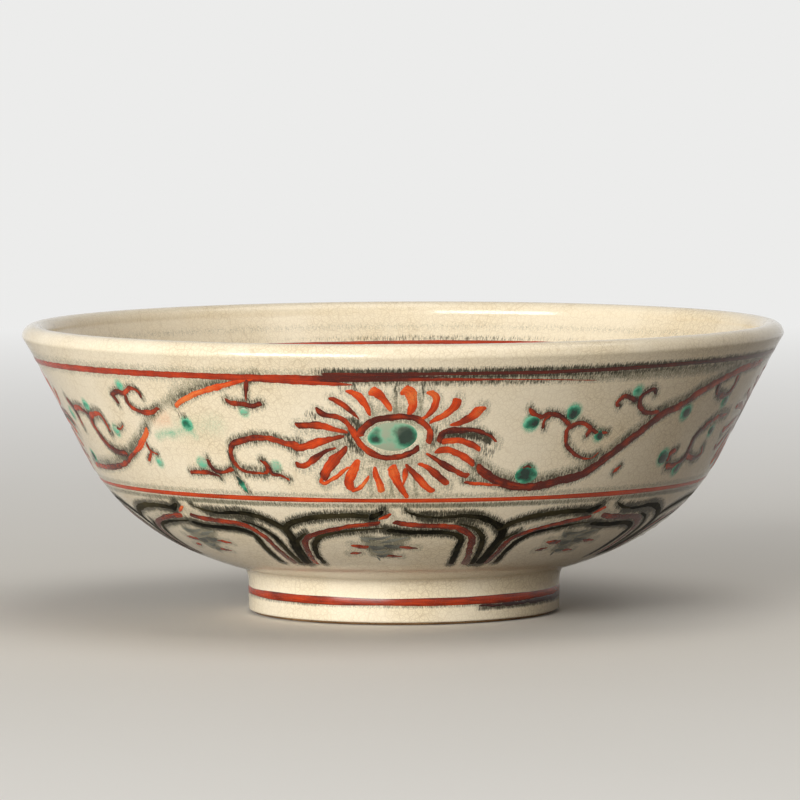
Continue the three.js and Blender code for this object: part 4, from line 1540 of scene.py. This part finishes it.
@dataclass
class PaintedBands(Painter):
    """The lines run round the bowl on the wheel: at the rim, the waist, the foot and inside.

    The rim's line goes right round and stops where it began; a second, shorter pull over it
    makes the broad dark stretch over the first flower and runs out to the right as a thread.
    """

    waist_width: float = 1.15
    foot_level: float = 4.6
    foot_width: float = 1.65
    drip: Pair = (28, 118)
    drip_drop: float = 1.1
    drip_width: float = 1.35
    inner_level: float = 48.8
    inner_width: float = 0.8
    samples: int = 720
    sweeps: tuple[Sweep, ...] = (
        Sweep((-12, 0, 7, 14, 22, 30, 39, 50, 120, 200, 284, 303, 318, 330, 338, 344, 348, 351),
              (62.3, 62.45, 62.48, 62.4, 62.36, 62.45, 62.6, 62.8, 62.3, 61.6, 61.2, 61.35, 61.4, 61.45,
              61.35, 61.35, 61.3, 61.3), (1.0, 0.97, 0.93, 0.93, 0.95, 1.0, 1.03, 1.05, 1.15, 1.3, 1.55,
              1.65, 1.65, 1.6, 1.8, 1.95, 2.0, 1.9), ((-12, 40, 100, 180, 260, 345, 349.5), (2.2, 1.8,
              0.8, 0.2, 0.0, 0.0, 1.6)), 0.38, 720, 0.06),
        Sweep((-13, -6, 0, 7, 14, 22, 30.4), (61.1, 61.15, 61.2, 61.18, 61.04, 60.7, 60.1), (1.2, 1.05,
              0.85, 0.75, 0.5, 0.32, 0.24), ((-13, -6, -1, 6, 30), (2.2, 1.6, 0.5, 0.15, 0.1)), 0.4,
              160, 0.06),
        Sweep((-12.6, 0, 7), (61.75, 61.75, 61.75), (0.9, 0.8, 0.3), ((0,), (2.2,)), 0.1, 80, 0.04,
              0.05, 1),
        Sweep((-27, -20, -14.5, -10.5, -7.5), (61.0, 60.9, 60.6, 60.3, 60.0), (0.9, 1.3, 1.5, 1.2, 0.4),
              ((-16, -8), (0.0, 0.6)), 0.6, 80, 0.05, 0.03, 1),
    )
    halos: tuple[Halo, ...] = (
        Halo(INK, 62.95, 0.25, 0.75, (-14, -11, 60, 110, 150), (0.0, 1.0, 1.0, 0.5, 0.0)),
        Halo(INK, 61.8, 0.3, 0.35, (-6, 0, 36, 60), (0.0, 1.05, 0.8, 0.0)),
        Halo(INK, 60.6, 0.15, 0.9, (-13, -9, 20, 32, 60), (0.0, 0.5, 0.5, 0.15, 0.0)),
        Halo(INK, 61.75, 0.2, 0.6, (24, 34, 100, 130), (0.0, 0.5, 0.4, 0.0)),
        Halo(HAZE, 61.6, 0.9, 1.5, (-180, -14, -10, 60, 120, 180), (0.44, 0.44, 0.8, 0.8, 0.6, 0.44)),
        Halo(HAZE, WAIST + 0.95, 0.15, 0.8, amounts=(0.5,)),
    )
    patchy_halos: tuple[Halo, ...] = (
        Halo(HAZE, WAIST - 1.4, 0.3, 0.55, amounts=(1.25,)),
        Halo(INK, WAIST - 1.4, 0.1, 0.4, amounts=(0.35,)),
    )

    @staticmethod
    def eased(at: Array, knots: Floats, values: Floats, window: int = 21) -> Array:
        """Reads values between knots and smooths them along the run.

        Args:
            at: where they are read.
            knots: the knots.
            values: what they are at the knots.
            window: how many samples the smoothing takes in.

        Returns:
            The values.
        """
        read = np.pad(np.interp(at, knots, values), window // 2, mode="edge")
        return np.convolve(read, np.full(window, 1 / window), "valid")

    def rim_run(self) -> EnamelWork:
        """Paints the rim's line, the pull laid over its start, and the red that fills them in.

        Returns:
            The pulls as enamel work.
        """
        work = EnamelWork(self.ground, seed=91)
        for sweep in self.sweeps:
            turn = np.linspace(sweep.knots[0], sweep.knots[-1], sweep.samples)
            height = self.eased(turn, sweep.knots, sweep.heights)
            width = self.eased(turn, sweep.knots, sweep.widths, sweep.easing)
            work.stroke(np.stack([np.radians(turn), height], -1), width, EVEN, sweep.tone,
                        np.interp(turn, *sweep.smoke), sweep.ragged, thickness=sweep.thickness)
        return work

    def sink(self) -> None:
        """Lets black hairs and grey haze sink in above, between and below the bands."""
        around = self.wall.around()
        patchy = 0.8 + 0.2 * np.sin(np.radians(around) * 7)
        for halos, share in ((self.halos, 1.0), (self.patchy_halos, patchy)):
            for halo in halos:
                self.wall.ring(halo.layer, halo.height, halo.reach, halo.spread,
                               share * np.interp(around, halo.places, halo.amounts))

    def ring_work(self, ground: Ground, level: float, width: float, tone: float, wave: float,
                  seed: int) -> EnamelWork:
        """Paints one closed line round the bowl.

        Args:
            ground: the surface it lies on.
            level: its height there.
            width: how wide it is.
            tone: how bright the enamel is.
            wave: how far it wanders up and down.
            seed: what makes its edges its own.

        Returns:
            The line as enamel work.
        """
        work = EnamelWork(ground, seed=seed)
        turn = np.linspace(0, math.tau, self.samples, endpoint=False)
        height = level + wave * (np.sin(turn + seed) + 0.5 * np.sin(3 * turn + 2 * seed))
        wide = width * (1 + 0.08 * np.sin(5 * turn + seed) + 0.05 * np.sin(11 * turn))
        work.stroke(np.stack([turn, height], -1), wide, tone=tone, ragged=0.02, closed=True,
                    thickness=0.06)
        return work

    def build(self) -> list[Object]:
        """Paints the four bands.

        Returns:
            The pieces.
        """
        self.sink()
        waist = self.ring_work(self.ground, WAIST - 0.1, self.waist_width, 0.75, 0.08, 92)
        foot = self.ring_work(self.form.foot_ground(), self.foot_level, self.foot_width, 0.35,
                              0.05, 93)
        turn = np.radians(np.linspace(*self.drip, 240))
        drip = self.foot_level - self.drip_drop - 0.1 * np.sin(turn * 3)
        foot.stroke(np.stack([turn, drip], -1), self.drip_width, LEAF, -0.2, 1.6, 0.14,
                    thickness=0.03)
        inner = self.ring_work(self.form.inner_ground(), self.inner_level, self.inner_width,
                               0.45, 0.1, 94)
        banding = self.palette.banding, "red_enamel"
        return self.seated((
            (self.rim_run(), "rim_line", self.palette.plum, "plum_enamel", "rim_band"),
            (waist, "waist_line", *banding, "waist_band"),
            (foot, "foot_line", *banding, "foot_band"),
            (inner, "inner_line", *banding, "inner_rim_band")))


class Quarter(Enum):
    """The four pieces that the wall's glaze is made in, by the way they face, in degrees."""

    FRONT = (-45.0, 45.0)
    RIGHT = (45.0, 135.0)
    BACK = (135.0, 225.0)
    LEFT = (225.0, 315.0)


@dataclass
class GlazeCoat:
    """The glaze over the whole bowl: wall, inside, foot and well under the foot."""

    form: BowlForm
    palette: Palette
    wall: StainedWall
    depth: float = 0.35
    grid_radius: float = 60.0
    well_fillet: float = 1.4
    inside_columns: int = 240
    foot_columns: int = 360
    inside_from: float = 60.0
    cloud_level: float = 52.0
    cloud_reach: float = 1.3
    cloud_full: float = 0.2
    hair_level: float = 49.7
    hair_reach: float = 0.9
    hair_full: Pair = (0.1, 0.28)
    hair_stretch: tuple[float, float, float] = (156, 190, 20)
    smear_level: float = 3.35
    smear_reach: float = 0.55
    smear_fade: float = 0.5
    smear_stretch: Pair = (28, 118)
    foot_hair_level: float = 3.75
    foot_hair_reach: float = 0.6
    foot_hairs: tuple[tuple[float, Pair], ...] = ((0.7, (-82, -33)), (0.35, (-8, 27)))
    foot_haze: Pair = (-40, 30)

    def skin(self, name: str, line: Array, normals: Array, turn: Array, whole: bool,
             heights: Array, stains: Stains) -> Object:
        """Turns a line into a thin closed coat.

        Args:
            name: the piece's name.
            line: radius and height of each point of the coat's face.
            normals: the face's normals there.
            turn: the angles that the coat is swept through, in radians.
            whole: whether it goes right round.
            heights: the line's own measure, for patterns that run along the wall.
            stains: how much colour sank in, by column and row.

        Returns:
            The piece.
        """
        back = line - normals * self.depth
        at_axis = line[:, 0] < 1e-6
        back[at_axis, 0] = 0
        rows, columns = len(line), len(turn)
        sine, cosine = np.sin(turn)[:, None], np.cos(turn)[:, None]
        sheets = [np.stack([side[:, 0] * sine, -side[:, 0] * cosine,
                            np.broadcast_to(side[:, 1], (columns, rows))], -1)
                  for side in (line, back)]
        outward = np.stack([normals[:, 0] * sine, -normals[:, 0] * cosine,
                            np.broadcast_to(normals[:, 1], (columns, rows))], -1)
        index = np.arange(columns * rows).reshape(columns, rows)
        index[:, at_axis] = index[0, at_axis]
        following = np.roll(index, -1, axis=0)
        spans = columns if whole else columns - 1
        a, b = index[:spans], following[:spans]
        behind = columns * rows
        front = np.stack([a[:, :-1], b[:, :-1], b[:, 1:], a[:, 1:]], -1).reshape(-1, 4)
        rear = front[:, ::-1] + behind
        foot = np.stack([a[:, 0] + behind, b[:, 0] + behind, b[:, 0], a[:, 0]], -1)
        head = np.stack([a[:, -1], b[:, -1], b[:, -1] + behind, a[:, -1] + behind], -1)
        closing = [foot] if at_axis.any() else [foot, head]
        if not whole:
            for column, flip in ((0, False), (columns - 1, True)):
                side = index[column]
                wallside = np.stack([side[1:] + behind, side[:-1] + behind, side[:-1], side[1:]], -1)
                closing.append(wallside[:, ::-1] if flip else wallside)
        groups = [front, rear, np.vstack(closing)]
        (out, up), (across, rise) = normals[0], line[1] - line[0]
        order = 1 if out * rise > up * across else -1
        faces = [tuple(dict.fromkeys(face[::order])) for face in np.vstack(groups).tolist()]
        mesh = bpy.data.meshes.new(name)
        mesh.from_pydata((np.vstack([s.reshape(-1, 3) for s in sheets]) * MM).tolist(), [], faces)
        mesh.shade_smooth()
        flat = outward.reshape(-1, 3)
        mesh.normals_split_custom_set_from_vertices(np.vstack([flat, -flat]).tolist())
        self.chart(mesh, line, turn, whole, [len(group) for group in groups])
        for layer, amount in stains.items():
            stain = mesh.attributes.new(layer.value, "FLOAT", "POINT")
            both = np.concatenate([amount.ravel(), amount.ravel()]).astype(np.float32)
            stain.data.foreach_set("value", both)
        grid = np.stack([np.broadcast_to(self.grid_radius * cosine, (columns, rows)),
                         np.broadcast_to(self.grid_radius * sine, (columns, rows)),
                         np.broadcast_to(heights, (columns, rows))], -1).reshape(-1, 3)
        unrolled = mesh.attributes.new("unrolled", "FLOAT_VECTOR", "POINT")
        unrolled.data.foreach_set("vector", np.vstack([grid, grid]).astype(np.float32).ravel())
        return new_object(mesh, self.palette.glaze)

    @staticmethod
    def chart(mesh: Mesh, line: Array, turn: Array, whole: bool, groups: list[int]) -> None:
        """Lays out the coat for baking: its face large, its back and its edges small.

        Args:
            mesh: the coat.
            line: the coat's line.
            turn: the swept angles.
            whole: whether it goes right round, which is charted as a disc.
            groups: how many faces are in its face, its back and its edges.
        """
        share = arc_of(line) / arc_of(line)[-1]
        rows, columns = len(line), len(turn)
        if whole:
            out = np.broadcast_to((1 - share) * 0.49, (columns, rows))
            face = np.stack([0.5 + out * np.cos(turn)[:, None], 0.5 + out * np.sin(turn)[:, None]], -1)
            rear, edge = face * 0.12, face * 0.02 + (0.96, 0.0)
        else:
            across = (turn - turn[0]) / (turn[-1] - turn[0])
            face = np.stack([np.broadcast_to(across[:, None], (columns, rows)),
                             np.broadcast_to(share * 0.93, (columns, rows))], -1)
            rear, edge = face * (1, 0.03) + (0, 0.94), face * (1, 0.02) + (0, 0.975)
        corners = np.zeros(len(mesh.loops), np.int32)
        mesh.loops.foreach_get("vertex_index", corners)
        sizes = np.zeros(len(mesh.polygons), np.int32)
        mesh.polygons.foreach_get("loop_total", sizes)
        kind = np.repeat(np.repeat([0, 1, 2], groups), sizes)
        spot = corners % (rows * columns)
        charts = np.stack([face.reshape(-1, 2), rear.reshape(-1, 2), edge.reshape(-1, 2)])
        layer = mesh.uv_layers.new(name=BAKE_MAP)
        layer.data.foreach_set("uv", charts[kind, spot].astype(np.float32).ravel())

    @staticmethod
    def stretch_of(turn: Array, start: float, end: float, fade: float = 4.0) -> Array:
        """Marks a stretch of the way round the bowl.

        Args:
            turn: angles in radians.
            start: where the stretch starts, in degrees.
            end: where it ends.
            fade: how many degrees its ends take to fade.

        Returns:
            One inside the stretch and nought outside it, as a column.
        """
        off = (np.degrees(turn) - (start + end) / 2 + 180) % 360 - 180
        inside = ((end - start) / 2 - np.abs(off)) / fade
        return np.clip(inside + 0.5, 0, 1)[:, None]

    def inside_stains(self, line: Array, turn: Array) -> Stains:
        """Colours the soft grey ring and the hairs over the red line on the inside.

        Args:
            line: the inside's line.
            turn: the angles that it is swept through.

        Returns:
            How much of each colour sank in, by column and row.
        """
        level = line[:, 1][None, :]
        upper = line[:, 0][None, :] > self.inside_from
        least, more = self.hair_full
        strength = least + more * self.stretch_of(turn, *self.hair_stretch)
        soft = np.clip(1 - np.abs(level - self.cloud_level) / self.cloud_reach, 0, 1)
        hairs = np.clip(1 - np.abs(level - self.hair_level) / self.hair_reach, 0, 1)
        hairs = hairs * strength * upper
        return {HAZE: soft * self.cloud_full * upper + hairs * 0.7, INK: hairs * 0.9}

    def foot_stains(self, line: Array, turn: Array) -> Stains:
        """Colours the black that ran along under the red line on the foot.

        Args:
            line: the foot's line.
            turn: the angles that it is swept through.

        Returns:
            How much of each colour sank in, by column and row.
        """
        level = line[:, 1][None, :]
        off = np.abs(level - self.smear_level) - self.smear_reach
        smear = np.clip(1 - off / self.smear_fade, 0, 1)
        hairs = np.clip(1 - np.abs(level - self.foot_hair_level) / self.foot_hair_reach, 0, 1)
        ink = smear * self.stretch_of(turn, *self.smear_stretch)
        for full, stretch in self.foot_hairs:
            ink = ink + hairs * full * self.stretch_of(turn, *stretch)
        return {INK: ink, HAZE: hairs * 0.6 * self.stretch_of(turn, *self.foot_haze)}

    def well_line(self) -> Array:
        """Draws the well under the foot.

        Returns:
            Its line, from the foot's bare edge in to the axis.
        """
        form = self.form
        corner = np.array([form.well_radius, form.well_ceiling])
        rise = np.linspace((form.well_radius, form.bare_foot), corner - (0, self.well_fillet), 12)
        turn = BowlForm.bezier([corner - (0, self.well_fillet), corner,
                                corner - (self.well_fillet, 0)], 12)
        flat = np.linspace(corner - (self.well_fillet, 0), (0, form.well_ceiling), 60)
        return np.vstack([rise, turn[1:], flat[1:]])

    def build(self) -> list[Object]:
        """Builds the glaze: four quarters outside, then the inside, the foot and the well.

        Returns:
            The pieces.
        """
        skins = self.form.skins()
        line, normals = skins["outside"]
        pieces = []
        per_degree = self.wall.columns / 360
        for quarter in Quarter:
            columns = np.arange(round(quarter.value[0] * per_degree),
                                round(quarter.value[1] * per_degree) + 1)
            stains = {layer: amount[columns % self.wall.columns]
                      for layer, amount in self.wall.layers.items()}
            piece = self.skin(f"wall_glaze_{quarter.name.lower()}", line, normals,
                              columns * math.tau / self.wall.columns, False,
                              self.wall.heights, stains)
            pieces.append(seat(piece, "glaze", "outer_glaze"))
        line, normals = skins["inside"]
        turn = np.arange(self.inside_columns) * math.tau / self.inside_columns
        piece = self.skin("inside_glaze", line, normals, turn, True, -arc_of(line),
                          self.inside_stains(line, turn))
        pieces.append(seat(piece, "glaze", "inner_glaze"))
        turn = np.arange(self.foot_columns) * math.tau / self.foot_columns
        line, normals = skins["foot"]
        piece = self.skin("foot_side_glaze", line, normals, turn, True, line[:, 1],
                          self.foot_stains(line, turn))
        pieces.append(seat(piece, "glaze", "foot_glaze"))
        line = self.well_line()
        normals = -normals_of(line)
        normals[-1] = (0, -1)
        piece = self.skin("foot_well_coat", line, normals, turn, True, line[:, 1], {})
        pieces.append(seat(piece, "glaze", "foot_well_glaze"))
        return pieces


@dataclass
class ClayBody:
    """The clay under the glaze: the thrown wall, kept as the CAD has it, and the turned foot."""

    palette: Palette
    outer: float = 30.34
    inner: float = 25.76
    edge: float = 0.7
    top: float = 8.3
    columns: int = 300

    def foot(self) -> Object:
        """Turns the foot ring, with a softened standing edge worn a little uneven.

        Returns:
            The piece.
        """
        corner = self.edge
        line = np.array([(self.outer, self.top), (self.outer, 5), (self.outer, 2), (self.outer, 1.2),
                         (self.outer - 0.08, 0.75), (self.outer - 0.3, 0.3),
                         (self.outer - corner, 0.06), (self.outer - 1.2, 0.0),
                         ((self.outer + self.inner) / 2, 0.05), (self.inner + 1.2, 0.0),
                         (self.inner + corner, 0.06), (self.inner + 0.3, 0.3),
                         (self.inner + 0.08, 0.75), (self.inner, 1.2), (self.inner, 2),
                         (self.inner, 5), (self.inner, self.top)])
        rows = len(line)
        turn = np.arange(self.columns) * math.tau / self.columns
        worn = 0.06 * (np.sin(3 * turn + 1) + np.sin(7 * turn) + np.sin(17 * turn + 2)) / 3
        low = np.clip(1 - line[:, 1] / 1.5, 0, 1)
        radius = line[:, 0] + worn[:, None] * low
        points = np.stack([radius * np.sin(turn)[:, None], -radius * np.cos(turn)[:, None],
                           np.broadcast_to(line[:, 1], radius.shape)], -1)
        faces = []
        for i in range(self.columns):
            a, b = i * rows, (i + 1) % self.columns * rows
            faces.extend((a + j, a + (j + 1) % rows, b + (j + 1) % rows, b + j) for j in range(rows))
        mesh = bpy.data.meshes.new("turned_foot")
        mesh.from_pydata((points.reshape(-1, 3) * MM).tolist(), [], faces)
        mesh.shade_smooth()
        mesh.set_sharp_from_angle(angle=math.radians(50))
        return new_object(mesh, self.palette.clay)

    def build(self) -> list[Object]:
        """Dresses the wall's clay and builds the foot.

        Returns:
            The pieces that were built.
        """
        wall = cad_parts["bowl_wall"]
        wall.material_slots[0].material = self.palette.clay
        log.info("bowl_wall keeps its CAD shape in bare clay")
        return [seat(self.foot(), "clay", "foot_ring")]


@dataclass(frozen=True)
class Lamp:
    """A soft rectangular lamp that faces the bowl.

    Its azimuth is degrees to the right of the front, its elevation degrees above the table, its
    distance and its size are metres, and its power is watts.
    """

    name: str
    azimuth: float
    elevation: float
    distance: float
    size: Pair
    watts: float
    colour: str

    def hang(self, target: Vector) -> None:
        """Puts the lamp in the scene.

        Args:
            target: what it is turned to.
        """
        data = bpy.data.lights.new(self.name, "AREA")
        data.shape = "RECTANGLE"
        data.size, data.size_y = self.size
        data.energy = self.watts
        data.color = linear(self.colour)[:3]
        lamp = new_object(data)
        turn, rise = math.radians(self.azimuth), math.radians(self.elevation)
        away = Vector((math.sin(turn) * math.cos(rise), -math.cos(turn) * math.cos(rise),
                       math.sin(rise)))
        lamp.location = target + away * self.distance
        lamp.rotation_euler = away.to_track_quat("Z", "Y").to_euler()


@dataclass
class Studio:
    """A pale floor, a tall soft window of light from the left, a fill and the camera."""

    floor_half: float = 3.0
    floor_colour: str = "#e4e2de"
    floor_mottle: str = "#dfddd8"
    floor_bounce: str = "#6c645a"
    backdrop: str = "#ececeb"
    fade_start: float = 0.06
    fade_end: float = 0.95
    ambient: float = 0.11
    ambient_colour: str = "#fff3e2"
    distance: float = 1300.0
    camera_height: float = 132.7
    aim: tuple[float, float, float] = (-0.63, 0.0, 41.54)
    lens: float = 297.3
    roll: float = -0.25
    lit: tuple[float, float, float] = (0, 0, 0.03)
    lamps: tuple[Lamp, ...] = (
        Lamp("window", -32.0, 8.5, 1.5, (1.1, 0.9), 33.0, "#fffdf8"),
        Lamp("overhead", 80.0, 74.0, 1.5, (1.2, 1.2), 7.5, "#fffaf2"),
        Lamp("fill", 60.0, 15.0, 1.8, (1.0, 0.8), 0.25, "#ffedd2"),
    )

    def floor(self) -> None:
        """Lays the floor, which isn't part of the bowl."""
        half = self.floor_half
        mesh = bpy.data.meshes.new("floor")
        mesh.from_pydata([(-half, -half, 0), (half, -half, 0), (half, half, 0), (-half, half, 0)],
                         [], [(0, 1, 2, 3)])
        material, tree, place = new_material("pale_matt_board")
        seen = self.seen(tree)
        mottle = add_node(tree, "TexNoise", {"Vector": place, "Scale": 9.0})
        tint = coats(tree, self.floor_colour, (mottle, self.floor_mottle))
        tint = coats(tree, self.floor_bounce, (seen, tint))
        board = add_node(tree, "BsdfPrincipled", {"Base Color": tint, "Roughness": 0.7})
        away = add_node(tree, "VectorMath", {0: place}, "Value", operation="LENGTH")
        far = add_node(tree, "MapRange", {
            "Value": away, "From Min": self.fade_start, "From Max": self.fade_end})
        share = add_node(tree, "Math", {0: far, 1: seen}, operation="MULTIPLY")
        glow = add_node(tree, "Emission", {"Color": linear(self.backdrop)})
        mixed = add_node(tree, "MixShader", {0: share, 1: board, 2: glow})
        add_node(tree, "OutputMaterial", {"Surface": mixed})
        floor = new_object(mesh, material)

    @staticmethod
    def seen(tree: NodeTree) -> NodeSocket:
        """Tells what is seen from what only lights the bowl.

        Args:
            tree: the node tree.

        Returns:
            One for what the camera, a mirror or glass sees, and nought for light.
        """
        path = add_node(tree, "LightPath").node
        seen = path.outputs["Is Camera Ray"]
        for ray in ("Is Glossy Ray", "Is Transmission Ray"):
            seen = add_node(tree, "Math", {0: seen, 1: path.outputs[ray]}, operation="MAXIMUM")
        return seen

    def world(self) -> None:
        """Makes the surroundings: pale where they are seen or mirrored, dimmer as light."""
        world = bpy.data.worlds.new("studio")
        world.use_nodes = True
        tree = world.node_tree
        tree.nodes.clear()
        light, shown = (
            add_node(tree, "Background", {"Color": linear(colour), "Strength": strength})
            for colour, strength in ((self.ambient_colour, self.ambient), (self.backdrop, 1.0)))
        mixed = add_node(tree, "MixShader", {0: self.seen(tree), 1: light, 2: shown})
        add_node(tree, "OutputWorld", {"Surface": mixed})
        bpy.context.scene.world = world

    def camera(self) -> None:
        """Sets up the camera at the photograph's angle."""
        data = bpy.data.cameras.new("camera")
        data.lens = self.lens
        data.sensor_width = 36.0
        data.clip_end = 50.0
        camera = new_object(data)
        camera.location = Vector((0, -self.distance, self.camera_height)) * MM
        view = Vector(self.aim) * MM - camera.location
        turn = view.to_track_quat("-Z", "Y").to_matrix().to_4x4()
        spin = turn @ Matrix.Rotation(math.radians(self.roll), 4, "Z")
        camera.rotation_euler = spin.to_euler()
        bpy.context.scene.camera = camera

    def build(self) -> None:
        """Builds the floor, the surroundings, the lamps and the camera."""
        self.floor()
        self.world()
        for lamp in self.lamps:
            lamp.hang(Vector(self.lit))
        self.camera()
        bpy.context.scene.view_settings.view_transform = "Standard"


def main() -> None:
    """Builds the painted bowl in the order it is made, and then its studio."""
    logging.basicConfig(level=logging.INFO, format="%(message)s")
    form = BowlForm()
    palette = Palette()
    outside = form.skins()["outside"][0]
    heights = np.interp(outside[:, 1], form.outer_ground().line[:, 1], form.outer_ground().heights)
    wall = StainedWall(outside, heights)
    tools = form, palette, wall, form.outer_ground()
    ClayBody(palette).build()
    for painter in (FlowerScroll(*tools), LotusPanels(*tools), PaintedBands(*tools)):
        painter.build()
    GlazeCoat(form, palette, wall).build()
    Studio().build()


if __name__ == "__main__":
    main()
